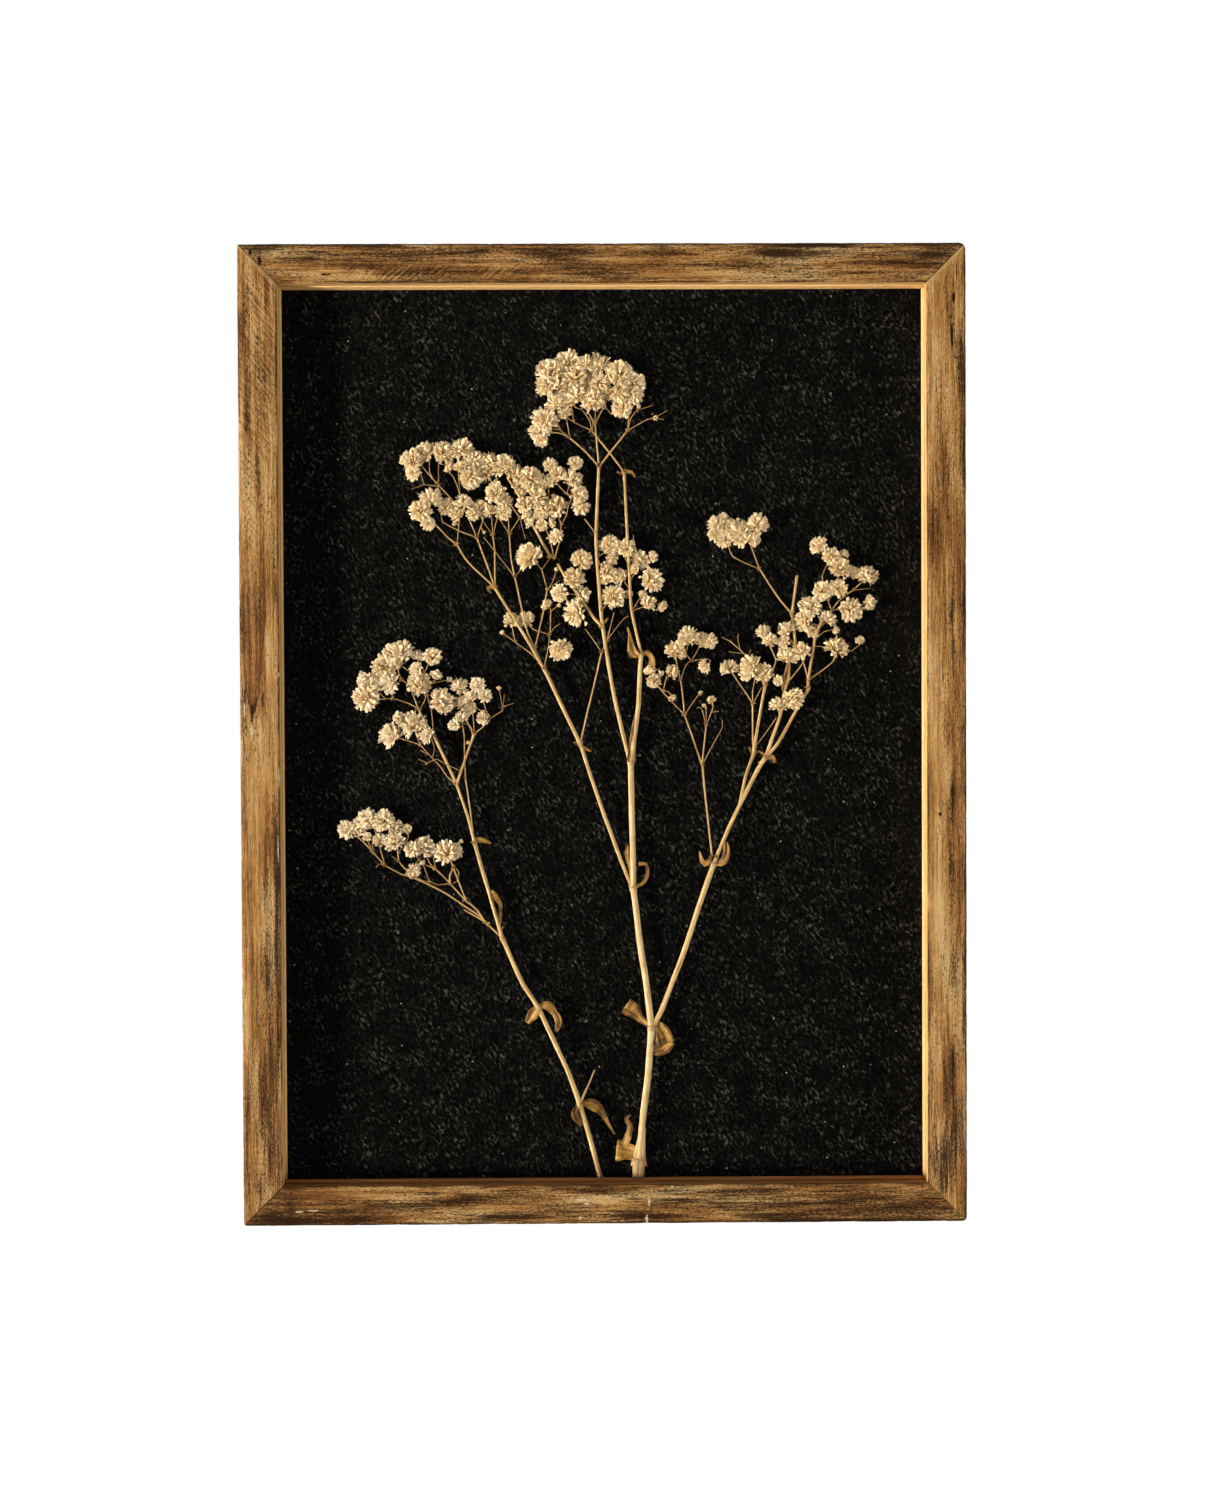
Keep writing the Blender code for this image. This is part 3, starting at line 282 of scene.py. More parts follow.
def start_material(name):
    """A new material with an empty node tree."""
    made = bpy.data.materials.new(name)
    made.use_nodes = True
    made.node_tree.nodes.clear()
    return made, made.node_tree


def add_node(tree, kind, feeds=(), out=0, stops=(), **settings):
    """Add a node, set it up, feed its sockets with outputs or constants, and give back one of its outputs.

    Feeds in a list go to the first sockets in order: a Map Range takes the value, from low, from high, to
    low, to high. Feeds in a dict name their sockets. Stops are the (place, hex colour) pairs of a ramp.
    """
    made = tree.nodes.new("ShaderNode" + kind)
    for name, value in settings.items():
        setattr(made, name, value)
    for number, (place, colour) in enumerate(stops):
        if number == len(made.color_ramp.elements):
            made.color_ramp.elements.new(1.0)
        made.color_ramp.elements[number].position = place
        made.color_ramp.elements[number].color = srgb(colour)
    for socket, value in feeds.items() if isinstance(feeds, dict) else enumerate(feeds):
        if isinstance(value, bpy.types.NodeSocket):
            tree.links.new(value, made.inputs[socket])
        else:
            made.inputs[socket].default_value = value
    return made.outputs[out] if made.outputs else None


# The figure of the wood: mm along the grain, mm across it, then the noise's detail, roughness and
# distortion. The pores and fibres are drawn a little coarser than real ones, so that they show.
PINE_FIGURE = {
    "tone": (38.0, 5.0, 2.0, 0.5, 0.0), "grain": (24.0, 0.8, 3.0, 0.6, 0.4),
    "fibre": (3.2, 0.28, 2.0, 0.75, 0.0), "streaks": (9.0, 0.42, 3.0, 0.78, 0.25),
    "pores": (1.0, 0.3, 2.0, 0.8, 0.0), "patches": (20.0, 1.7, 4.0, 0.68, 0.3),
    "scuffs": (1.8, 0.5, 3.0, 0.75, 0.6),
}
# What is laid over what, as a level to start from and the share of each part that is added to it
PINE_SUMS = {
    "brown": (-0.03, {"scratches": 0.36, "fibre": 0.28, "grain": 0.34, "tone": 0.5}),
    "wash": (-0.83, {"scratches": -0.8, "stain": 0.9, "streaks": 0.4, "patches": 1.2}),
    "smear": (-1.59, {"sawn": -0.3, "stain": 0.26, "fibre": 0.5, "patches": 0.8, "streaks": 1.6}),
    "dots": (-1.16, {"scratches": -0.5, "stain": 0.3, "patches": 0.6, "pores": 1.6}),
    "frayed": (-2.3, {"patches": 2.4, "streaks": 2.2}),
    "scuffed": (-1.0, {"stain": -0.12, "scuffs": 1.6}),
    "raw": (0.0, {"fibre": 0.5, "grain": 0.6}),
}
BROWN_TONES = ((0.42, "#7C4F25"), (0.49, "#B27D43"), (0.55, "#DAA562"), (0.63, "#F3CE92"))
RAW_TONES = ((0.42, "#CE9A50"), (0.55, "#E6B976"), (0.68, "#EFCB92"))
SCRATCH_SLANT = math.radians(40)
SCRATCH_LENGTH = 9.0        # mm
SCRATCH_SPACING = 0.55      # mm


def rubbed_back_stained_pine():
    """Pine, planed, stained dark and rubbed back: to the eye a warm brown with darker grain, near-black
    stain in the pores, in smears and along the arrises, pale scuffs, and a soft wax sheen."""
    made, tree = start_material("rubbed_back_stained_pine")
    part = {name: add_node(tree, "Attribute", out="Fac", attribute_name=name) for name in RAIL_NUMBERS}
    along, across, depth = part["along_mm"], part["across_mm"], part["depth_mm"]
    place = add_node(tree, "CombineXYZ", [along, across, depth])
    for name, (length, width, detail, roughness, distortion) in PINE_FIGURE.items():
        sizes = (1 / length, 1 / width, 1 / width)
        drawn_out = add_node(tree, "VectorMath", [place, sizes], operation="MULTIPLY")
        part[name] = add_node(tree, "TexNoise", {
            "Vector": drawn_out, "Scale": 1.0, "Detail": detail, "Roughness": roughness,
            "Distortion": distortion})

    # Scratches of a coarse saw: pale ones, dark ones, and how they shade the wood between
    slanted = add_node(tree, "VectorRotate", {
        "Vector": place, "Axis": (0.0, 0.0, 1.0), "Angle": SCRATCH_SLANT})
    slanted = add_node(tree, "VectorMath", [
        slanted, (1 / SCRATCH_LENGTH, 1 / SCRATCH_SPACING, 1 / SCRATCH_LENGTH)], operation="MULTIPLY")
    scratch = add_node(tree, "TexNoise", {"Vector": slanted, "Scale": 1.0, "Detail": 2.0, "Roughness": 0.6})
    pale = add_node(tree, "MapRange", [scratch, 0.57, 0.64, 0.0, 0.55])
    dark = add_node(tree, "MapRange", [scratch, 0.42, 0.35, 0.0, 0.7])
    between = add_node(tree, "Math", [scratch, 0.5], operation="SUBTRACT")
    for name, drawn in (("pale_scratches", pale), ("dark_scratches", dark), ("scratches", between)):
        part[name] = add_node(tree, "Math", [drawn, part["sawn"]], operation="MULTIPLY")

    # Small marks with ragged edges
    ragged = add_node(tree, "TexNoise", {"Vector": place, "Scale": 1.6, "Detail": 2.0}, out="Color")
    ragged = add_node(tree, "VectorMath", [ragged, (1.2, 0.5, 0.0), place], operation="MULTIPLY_ADD")
    ragged = add_node(tree, "VectorMath", [ragged, (0.6, 0.25, 0.0)], operation="SUBTRACT")
    for name, marks in (("dark_spots", DARK_SPOTS), ("thin_streaks", STAIN_STREAKS), ("chips", PALE_CHIPS)):
        part[name] = 0.0
        for side, mark_along, mark_across, mark_length, mark_width in marks:
            centre = (mark_along + RAIL_SPACING * RAIL_ORDER.index(side), mark_across, 0.0)
            sizes = (2 / mark_length, 2 / mark_width, 0.2)
            away = add_node(tree, "VectorMath", [ragged, centre], operation="SUBTRACT")
            away = add_node(tree, "VectorMath", [away, sizes], operation="MULTIPLY")
            away = add_node(tree, "VectorMath", [away], "Value", operation="LENGTH")
            mark = add_node(tree, "MapRange", [away, 0.75, 1.15, 1.0, 0.0])
            part[name] = add_node(tree, "Math", [part[name], mark], operation="MAXIMUM")

    for name, (total, shares) in PINE_SUMS.items():
        for figure, share in shares.items():
            total = add_node(tree, "Math", [part[figure], share, total], operation="MULTIPLY_ADD")
        part[name] = total

    # The growth ring: inside its point the wood is browner, and its rim is a dark line near the tip
    from_tip = add_node(tree, "Math", [along, RING_TIP_ALONG], operation="SUBTRACT")
    from_middle = add_node(tree, "Math", [across, RING_MIDDLE], operation="SUBTRACT")
    from_middle = add_node(tree, "Math", [part["patches"], RING_WAVER, from_middle], operation="MULTIPLY_ADD")
    spread = add_node(tree, "Math", [from_middle, from_middle], operation="MULTIPLY")
    inside = add_node(tree, "Math", [from_tip, RING_BLUNTNESS], operation="MULTIPLY")
    inside = add_node(tree, "Math", [inside, spread], operation="SUBTRACT")
    inside = add_node(tree, "Math", [depth, -RING_SINK, inside], operation="MULTIPLY_ADD")
    ring = add_node(tree, "MapRange", [inside, 0.0, 1.6, 0.0, 0.07])
    ring_end = add_node(tree, "MapRange", [from_tip, *RING_FADE, 1.0, 0.0])
    ring = add_node(tree, "Math", [ring, ring_end], operation="MULTIPLY")
    rim = add_node(tree, "Math", [inside, RING_RIM], operation="SUBTRACT")
    rim = add_node(tree, "Math", [rim], operation="ABSOLUTE")
    rim = add_node(tree, "MapRange", [rim, 0.2, 1.1, 0.42, 0.0])
    rim_end = add_node(tree, "MapRange", [from_tip, *RING_RIM_FADE, 1.0, 0.0])
    before_tip = add_node(tree, "Math", [from_tip, -1.5], operation="GREATER_THAN")
    for limit in (rim_end, before_tip):
        rim = add_node(tree, "Math", [rim, limit], operation="MULTIPLY")

    # Stain in smears and pores, along both arrises of the front, in the mitres, in spots and in scratches.
    # The limits of the arrises, the mitres and the raw edge are in mm.
    smear = add_node(tree, "Math", [part["smear"], rim], operation="ADD")
    smear = add_node(tree, "MapRange", [smear, 0.01, 0.09, 0.0, 0.9])
    dots = add_node(tree, "MapRange", [part["dots"], 0.02, 0.09, 0.0, 0.85])
    outer = add_node(tree, "Math", [across, part["edge"]], operation="SUBTRACT")
    outer = add_node(tree, "Math", [outer, part["frayed"]], operation="SUBTRACT")
    outer = add_node(tree, "MapRange", [outer, 0.25, 0.9, 0.9, 0.0])
    near_face = add_node(tree, "Math", [part["frayed"], 0.8, depth], operation="MULTIPLY_ADD")
    near_face = add_node(tree, "MapRange", [near_face, 0.6, 1.4, 1.0, 0.0])
    outer = add_node(tree, "Math", [outer, near_face], operation="MULTIPLY")
    inner = add_node(tree, "Math", [across, part["frayed"]], operation="ADD")
    inner = add_node(tree, "MapRange", [inner, 10.5, 10.85, 0.0, 0.8])
    line = add_node(tree, "MapRange", [part["end_mm"], 0.12, 0.45, 1.0, 0.0])
    line = add_node(tree, "Math", [line, part["mitre"]], operation="MULTIPLY")
    broken = add_node(tree, "MapRange", [part["streaks"], 0.38, 0.52, 0.15, 0.9])
    broken = add_node(tree, "Math", [broken, part["thin_streaks"]], operation="MULTIPLY")
    stain = smear
    for more in (dots, outer, inner, line, part["dark_spots"], broken, part["dark_scratches"]):
        stain = add_node(tree, "Math", [stain, more], operation="MAXIMUM")

    # Pale scuffs where the stain was rubbed through and in scratches, and a pale band at some mitres
    scuffed = add_node(tree, "MapRange", [part["scuffed"], -0.03, 0.12, 0.0, 0.4])
    pale_end = add_node(tree, "MapRange", [part["end_mm"], 0.5, 1.6, -0.6, 0.0])
    pale_end = add_node(tree, "Math", [pale_end, part["mitre"]], operation="MULTIPLY")
    for more in (pale_end, part["pale_scratches"]):
        scuffed = add_node(tree, "Math", [scuffed, more], operation="MAXIMUM")

    # Bare wood, then a thin wash of stain in patches, the heavy stain, the scuffs and the chips
    brown = add_node(tree, "Math", [part["brown"], ring], operation="SUBTRACT")
    front = add_node(tree, "ValToRGB", [brown], stops=BROWN_TONES)
    wash = add_node(tree, "MapRange", [part["wash"], 0.0, 0.65, 0.0, 0.75])
    for cover, colour in (
            (wash, "#5F3714"), (stain, "#281405"), (scuffed, "#E8C286"), (part["chips"], "#F1E2C6")):
        front = add_node(tree, "Mix", {0: cover, 6: front, 7: srgb(colour)}, 2, data_type="RGBA")

    # The edge towards the glass was left raw: pale, even wood, darkened rail by rail with painted shade
    raw = add_node(tree, "ValToRGB", [part["raw"]], stops=RAW_TONES)
    raw = add_node(tree, "Mix", {0: part["edge_painted_shade"], 6: raw, 7: srgb("#B8763A")}, 2, data_type="RGBA")
    raw_edge = add_node(tree, "MapRange", [across, RAIL_FACE - 0.06, RAIL_FACE - 0.01, 0.0, 1.0])
    colour = add_node(tree, "Mix", {0: raw_edge, 6: front, 7: raw}, 2, data_type="RGBA")

    height = 0.0
    for layer, share in ((stain, -0.3), (part["pores"], 0.4), (part["grain"], 0.7), (part["fibre"], 0.5)):
        height = add_node(tree, "Math", [layer, share, height], operation="MULTIPLY_ADD")
    relief = add_node(tree, "Bump", {"Strength": 0.8, "Distance": 0.2 * MM, "Height": height})
    sheen = add_node(tree, "MapRange", [part["grain"], 0.3, 0.7, 0.66, 0.46])
    shader = add_node(tree, "BsdfPrincipled", {
        "Base Color": colour, "Roughness": sheen, "IOR": 1.48, "Specular IOR Level": 0.2, "Normal": relief})
    add_node(tree, "OutputMaterial", [shader])
    return made


stained_pine = rubbed_back_stained_pine()
for side in RAIL_ORDER:
    make_rail(side, stained_pine)

# ---------------------------------------------------------------- glass
# One pane of clear picture glass, cut to the rebate and laid against the lip.
# It isn't seen itself: only a little dust and the faint unevenness of drawn glass show on it.


def polished_float_glass():
    """Soda-lime float glass, polished: no colour of its own and a clean mirror-like gloss."""
    made, tree = start_material("polished_float_glass")
    place = add_node(tree, "TexCoord", out="Object")
    dust = add_node(tree, "TexNoise", {"Vector": place, "Scale": 1 / (14 * MM), "Detail": 3.0})
    haze = add_node(tree, "MapRange", [dust, 0.5, 0.8, 0.0, 0.02])
    shader = add_node(tree, "BsdfPrincipled", {
        "Base Color": srgb("#FFFFFF"), "Roughness": haze, "IOR": 1.5, "Transmission Weight": 1.0})
    add_node(tree, "OutputMaterial", [shader])
    return made


def dress(node_name, finish):
    """Give a CAD node that stays as it is its material."""
    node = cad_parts[node_name]
    node.data.materials.clear()
    node.data.materials.append(finish)
    return node


pane = dress("glass", polished_float_glass())
pane.visible_shadow = False

# ---------------------------------------------------------------- spacers
# Strips of sawn pine glued inside the rebate, level with the sight edge, that hold the paper away from
# the glass. They were left raw, so they are paler than the rails.

SPACER_TONES = ("#CE9A50", "#E6B976", "#EFCB92")
SHADED_SPACER_TONES = ("#A56A30", "#B8783C", "#C48A4C")    # painted shade on the bottom strip, which faces up
SPACER_GRAIN = 18 * MM          # along the strip
SPACER_GRAIN_WIDTH = 0.5 * MM


def sawn_raw_pine(name, upright, tones):
    """Pine straight from the saw: pale straw brown, dull, with fine fuzzy grain along the strip."""
    made, tree = start_material(name)
    place = add_node(tree, "TexCoord", out="Object")
    sizes = [SPACER_GRAIN, SPACER_GRAIN_WIDTH, SPACER_GRAIN_WIDTH]
    sizes = tuple(1 / size for size in (reversed(sizes) if upright else sizes))
    drawn_out = add_node(tree, "VectorMath", [place, sizes], operation="MULTIPLY")
    grain = add_node(tree, "TexNoise", {"Vector": drawn_out, "Scale": 1.0, "Detail": 4.0, "Roughness": 0.65})
    colour = add_node(tree, "ValToRGB", [grain], stops=zip((0.3, 0.5, 0.7), tones))
    relief = add_node(tree, "Bump", {"Strength": 0.6, "Distance": 0.15 * MM, "Height": grain})
    shader = add_node(tree, "BsdfPrincipled", {
        "Base Color": colour, "Roughness": 0.75, "IOR": 1.5, "Normal": relief})
    add_node(tree, "OutputMaterial", [shader])
    return made


upright_pine = sawn_raw_pine("sawn_raw_pine_upright", True, SPACER_TONES)
dress("spacer_top", sawn_raw_pine("sawn_raw_pine_level", False, SPACER_TONES))
# The bottom strip faces up, away from the low lamp: its darker tones are painted shade
dress("spacer_bottom", sawn_raw_pine("sawn_pine_painted_shade", False, SHADED_SPACER_TONES))
dress("spacer_left", upright_pine)
dress("spacer_right", upright_pine)

# ---------------------------------------------------------------- backing paper
# Black card embossed with a fine leather grain, cut to the rebate. Its wrinkles slant a little, and catch
# the low light on their left flanks; their crests are also painted grey as highlights. A few specks of dust
# lie on it.

WRINKLE_LENGTH = 1.35       # mm
WRINKLE_WIDTH = 0.75
WRINKLE_SLANT = 32.0        # degrees from upright
CLUMP_SIZE = 6.0            # mm, patches in which the grain stands higher
GRAIN_HEIGHT = 0.5          # mm
DUST_SPACING = 17.0         # mm between two specks
DUST_SIZE = 0.26            # mm


def embossed_black_card():
    """Card dyed black and pressed between grained rollers: near-black with a low sheen, and painted
    highlights:
    the crowns of the grain are painted as soft grey flecks in clumps."""
    made, tree = start_material("embossed_black_card")
    place = add_node(tree, "TexCoord", out="Object")
    slanted = add_node(tree, "VectorRotate", {
        "Vector": place, "Axis": (0.0, 1.0, 0.0), "Angle": math.radians(WRINKLE_SLANT)})
    slanted = add_node(tree, "VectorMath", [
        slanted, (1 / (WRINKLE_WIDTH * MM), 0.0, 1 / (WRINKLE_LENGTH * MM))], operation="MULTIPLY")
    wrinkles = add_node(tree, "TexNoise", {
        "Vector": slanted, "Scale": 1.0, "Detail": 2.0, "Roughness": 0.5, "Distortion": 0.5})
    clumps = add_node(tree, "TexNoise", {
        "Vector": place, "Scale": 1 / (CLUMP_SIZE * MM), "Detail": 2.0, "Roughness": 0.7})
    crests = add_node(tree, "MapRange", [wrinkles, 0.37, 0.76, 0.0, 1.0])
    standing = add_node(tree, "MapRange", [clumps, 0.3, 0.7, 0.6, 1.5])
    height = add_node(tree, "Math", [crests, standing], operation="MULTIPLY")
    relief = add_node(tree, "Bump", {"Strength": 1.0, "Distance": GRAIN_HEIGHT * MM, "Height": height})
    # Painted highlights: the higher the grain stands, the paler grey the card is painted
    card = add_node(tree, "ValToRGB", [height], stops=(
        (0.0, "#010101"), (0.4, "#050504"), (0.65, "#191917"), (1.0, "#444440")))
    flat_place = add_node(tree, "VectorRotate", {
        "Vector": place, "Axis": (1.0, 0.0, 0.0), "Angle": math.radians(-90.0)})
    specks = add_node(tree, "TexVoronoi", {"Vector": flat_place, "Scale": 1 / (DUST_SPACING * MM)},
                      voronoi_dimensions="2D")
    shown = add_node(tree, "SeparateColor", [specks.node.outputs["Color"]])
    rim = DUST_SIZE / DUST_SPACING
    near = add_node(tree, "MapRange", [specks, 0.4 * rim, rim, 1.0, 0.0])
    dust = add_node(tree, "Math", [near, shown], operation="MULTIPLY")
    colour = add_node(tree, "Mix", {0: dust, 6: card, 7: srgb("#B9B9B4")}, 2, data_type="RGBA")
    shader = add_node(tree, "BsdfPrincipled", {
        "Base Color": colour, "Roughness": 0.28, "IOR": 1.5, "Specular IOR Level": 0.03, "Normal": relief})
    add_node(tree, "OutputMaterial", [shader])
    return made


dress("backing_paper", embossed_black_card())
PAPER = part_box("backing_paper")[0].y / MM

# ---------------------------------------------------------------- backing board, points and hanger
# A hardboard sheet closes the back, held by ten zinc-plated framer's points pushed into the rails.
# A brass-plated sawtooth hanger is nailed to the back of the top rail.


def pressed_hardboard():
    """Hardboard: wood fibre pressed hot, dark brown and smooth, with tiny paler fibres in it."""
    made, tree = start_material("pressed_hardboard")
    place = add_node(tree, "TexCoord", out="Object")
    fibres = add_node(tree, "TexNoise", {
        "Vector": place, "Scale": 1 / (1.2 * MM), "Detail": 5.0, "Roughness": 0.7, "Distortion": 1.5})
    clouds = add_node(tree, "TexNoise", {"Vector": place, "Scale": 1 / (45 * MM), "Detail": 2.0})
    mixed = add_node(tree, "Math", [clouds, 0.5, fibres], operation="MULTIPLY_ADD")
    colour = add_node(tree, "ValToRGB", [mixed], stops=(
        (0.55, "#5C3F26"), (0.75, "#7A5635"), (0.92, "#96714A")))
    relief = add_node(tree, "Bump", {"Strength": 0.4, "Distance": 0.08 * MM, "Height": fibres})
    shader = add_node(tree, "BsdfPrincipled", {
        "Base Color": colour, "Roughness": 0.62, "IOR": 1.5, "Normal": relief})
    add_node(tree, "OutputMaterial", [shader])
    return made


def plated_steel(name, dark, bright, roughness):
    """Thin steel strip, plated: a metal with soft rolling streaks and a few dull spots."""
    made, tree = start_material(name)
    place = add_node(tree, "TexCoord", out="Object")
    streaks = add_node(tree, "VectorMath", [place, (1 / (4 * MM), 1 / (0.3 * MM), 1 / (0.3 * MM))],
                       operation="MULTIPLY")
    rolled = add_node(tree, "TexNoise", {"Vector": streaks, "Scale": 1.0, "Detail": 3.0})
    spots = add_node(tree, "TexNoise", {"Vector": place, "Scale": 1 / (2.5 * MM), "Detail": 4.0})
    colour = add_node(tree, "ValToRGB", [spots], stops=((0.38, dark), (0.55, bright)))
    dull = add_node(tree, "MapRange", [rolled, 0.3, 0.7, roughness - 0.08, roughness + 0.12])
    relief = add_node(tree, "Bump", {"Strength": 0.25, "Distance": 0.05 * MM, "Height": rolled})
    shader = add_node(tree, "BsdfPrincipled", {
        "Base Color": colour, "Roughness": dull, "Metallic": 1.0, "Normal": relief})
    add_node(tree, "OutputMaterial", [shader])
    return made


dress("backing_board", pressed_hardboard())
zinc = plated_steel("zinc_plated_steel", "#8C8F92", "#C4C7C9", 0.38)
brass = plated_steel("brass_plated_steel", "#A8843E", "#E0BE6E", 0.3)
for number in range(1, 11):
    dress("glazing_tab_%d" % number, zinc)
for node_name in ("hanger", "hanger_nail_left", "hanger_nail_right"):
    dress(node_name, brass)

# ---------------------------------------------------------------- dried stalks
# Baby's breath stalks, dried between boards and stuck to the card with dots of clear glue. They are round,
# pressed a little flat, swollen and brown at each fork, and the thick ones are ridged lengthwise.

STEM_LIFT = 2.6             # mm from the paper to the middle of a stalk
LIFT_STEP = 0.07            # mm between the lifts of neighbouring stalks or leaves
LIFT_WANDER = 0.18          # mm that a stalk rises and falls
LIFT_WAVE = 9.0             # mm from one rise to the next, about
STALK_STEP = 1.1            # mm between two cross-sections, less on twigs
LEAST_STEP = 0.35
STALK_EASE = 0.45           # stalks bend in kinks rather than in curves
STALK_BOW = 0.35            # mm that a stalk wanders sideways at most
BOW_SHARE = 0.02            # of its length, that a short one does
BOW_WAVE = 14.0             # mm
PRESSED = 0.8               # depth of a stalk for its width
TWIG_BELOW = 0.9            # mm wide
THICK_FROM = 2.3            # mm wide
SLIMNESS = 0.85             # share of the width read off the photo, which blurs stems wider
TWIG_SLIMNESS = 0.63
KNOT_SWELL = 0.3            # share that a fork is thicker
THICK_KNOT_SWELL = 0.12     # on thick stems
KNOT_LENGTH = 0.9           # mm
KNOT_BROWN = 0.6            # how brown a fork is
WIDTH_WANDER = 0.07         # share that a stalk is thicker or thinner here and there
WIDTH_WAVE = 2.5            # mm
STALK_OVERLAP = 0.4         # share of its radius that a stalk runs into the fork at each end
SIDES = ((1.5, 18), (0.7, 10), (0.0, 6))                # from this width in mm, this many sides
RIDGES = 6                  # round a stem of 18 sides
RIDGE_HEIGHT = 0.05         # share of its radius
PALEST_WIDTH = 2.4          # mm, thinner stalks are darker
FOOT_HEIGHT = 20.0          # mm, below it no scales grow
FOOT_BROWN_BELOW = 18.5     # mm
FOOT_BROWN = 0.8
FOOT_FADE = 2.5             # mm
SCALES_FROM = 0.4           # mm, thinner shoots have no scales
FLOWER_STALK = (0.4, 0.36)  # mm wide at its two ends
LEAST_FLOWER_STALK = 0.3    # mm long, a shorter one is hidden by the head
# What each point of a plant tells its material: how far out on a petal or how brown on a stalk, its tint,
# how far along, and where round or across
PLANT_NUMBERS = ("grow", "shade", "along_mm", "round")
STALK_FINISH, LEAF_FINISH, PETAL_FINISH = range(3)      # places of the materials in each plant piece


def add_rings(heap, rings, finish, *numbers):
    """Skin rows of rings and close both ends. All rings have the same even number of points."""
    rows, count = rings.shape[:2]
    start = sum(map(len, heap["points"]))
    near = np.arange(rows - 1)[:, None] * count + np.arange(count)[None, :] + start
    next_near = np.arange(rows - 1)[:, None] * count + (np.arange(count)[None, :] + 1) % count + start
    skin = np.stack([near, near + count, next_near + count, next_near], axis=-1).reshape(-1, 4)
    i = np.arange(count // 2 - 1)
    cap = np.stack([i, i + 1, count - 2 - i, count - 1 - i], axis=-1) + start
    heap["faces"] += [skin, cap, cap[:, ::-1] + (rows - 1) * count]
    heap["finish"].append(np.full(len(skin) + 2 * len(cap), finish))
    heap["points"].append(rings.reshape(-1, 3))
    for name, value in zip(PLANT_NUMBERS, numbers):
        heap[name].append(np.broadcast_to(value, (rows, count)).reshape(-1))


def smooth_path(corners, step, ease=1.0):
    """A curve through the corner points, with a point about every step. Less ease makes its bends tighter."""
    corners = np.array(corners, float)
    runs = np.diff(corners, axis=0)
    lengths = np.linalg.norm(runs[:, :2], axis=1)
    ways = runs / lengths[:, None]
    tangents = np.vstack([ways[:1], ways[:-1] + ways[1:], ways[-1:]])
    tangents *= ease / np.linalg.norm(tangents[:, :2], axis=1)[:, None]
    curve = []
    for i, length in enumerate(lengths):
        s = (np.arange(max(1, round(length / step))) / max(1, round(length / step)))[:, None]
        curve.append((2 * s ** 3 - 3 * s ** 2 + 1) * corners[i] + (3 * s ** 2 - 2 * s ** 3) * corners[i + 1]
                     + (s ** 3 - 2 * s ** 2 + s) * tangents[i] * length
                     + (s ** 3 - s ** 2) * tangents[i + 1] * length)
    return np.vstack(curve + [corners[-1:]])


def lengthwise(curve):
    """How far along a path each of its points is, in mm and as a share, and the unit vectors across it."""
    along = np.concatenate([[0.0], np.cumsum(np.linalg.norm(np.diff(curve[:, :2], axis=0), axis=1))])
    way = np.gradient(curve[:, :2], axis=0)
    way /= np.linalg.norm(way, axis=1)[:, None]
    return along, along / along[-1], np.stack([way[:, 1], -way[:, 0]], axis=1)


def ring_points(spine, side, out, depth):
    """Rings round the points of a path: out along its side vectors, and each point at its own depth."""
    return np.stack([spine[:, 0, None] + out * side[:, 0, None], depth,
                     spine[:, 1, None] + out * side[:, 1, None]], axis=-1)


def wave(places, seed, reach):
    """Smooth wandering between about -1 and 1, one value for each place, with a reach in mm.

    What is added to a seed in a call only keeps one wandering apart from the next.
    """
    return np.array([noise.noise(Vector((place / reach, seed * 7.31, 0.5))) for place in places])


def unit(way):
    """A way as a vector of length one."""
    return way / np.linalg.norm(way)


def add_stalk(heap, path, start_width, end_width, lift, seed, end_lift=None):
    """A tapering stalk along (across, up) points in mm, knotty at both ends."""
    spine = smooth_path(path, min(STALK_STEP, LEAST_STEP + 0.5 * start_width), STALK_EASE)
    along, share, side = lengthwise(spine)
    middle = np.sin(math.pi * share)
    bow = wave(along, seed + 3.3, BOW_WAVE) * middle * min(STALK_BOW, along[-1] * BOW_SHARE)
    spine = spine + side * bow[:, None]
    rise = lift + wave(along, seed, LIFT_WAVE) * LIFT_WANDER * middle
    if end_lift is not None:
        rise = rise + (end_lift - lift) * share ** 2
    knot = np.exp(-(along / KNOT_LENGTH) ** 2) + np.exp(-((along[-1] - along) / KNOT_LENGTH) ** 2)
    knot = np.clip(knot, 0, 1)
    foot = np.clip((FOOT_BROWN_BELOW - spine[:, 1]) / FOOT_FADE, 0, FOOT_BROWN)
    radius = (start_width + (end_width - start_width) * share) / 2
    radius = radius * (TWIG_SLIMNESS if start_width < TWIG_BELOW else SLIMNESS)
    swell = KNOT_SWELL if start_width < THICK_FROM else THICK_KNOT_SWELL
    radius = radius * (1 + WIDTH_WANDER * wave(along, seed + 1.7, WIDTH_WAVE) + swell * knot)
    first = spine[:1] - STALK_OVERLAP * radius[0] * unit(spine[1] - spine[0])
    last = spine[-1:] + STALK_OVERLAP * radius[-1] * unit(spine[-1] - spine[-2])
    spine = np.vstack([first, spine[1:-1], last])
    widest = max(start_width, end_width)
    count = next(sides for least, sides in SIDES if widest >= least)
    angle = 2 * math.pi * (np.arange(count) + 0.5) / count
    ridged = 1 + RIDGE_HEIGHT * np.cos(RIDGES * angle + seed) * (count == SIDES[0][1])
    out = radius[:, None] * (np.cos(angle) * ridged)[None, :]
    up = radius[:, None] * (np.sin(angle) * ridged)[None, :] * PRESSED
    browned = np.maximum(KNOT_BROWN * knot, foot)[:, None]
    around = (np.arange(count) / count)[None, :]
    add_rings(heap, ring_points(spine, side, out, PAPER - rise[:, None] - up), STALK_FINISH,
              browned, min(1.0, widest / PALEST_WIDTH), (along + 60 * seed)[:, None], around)


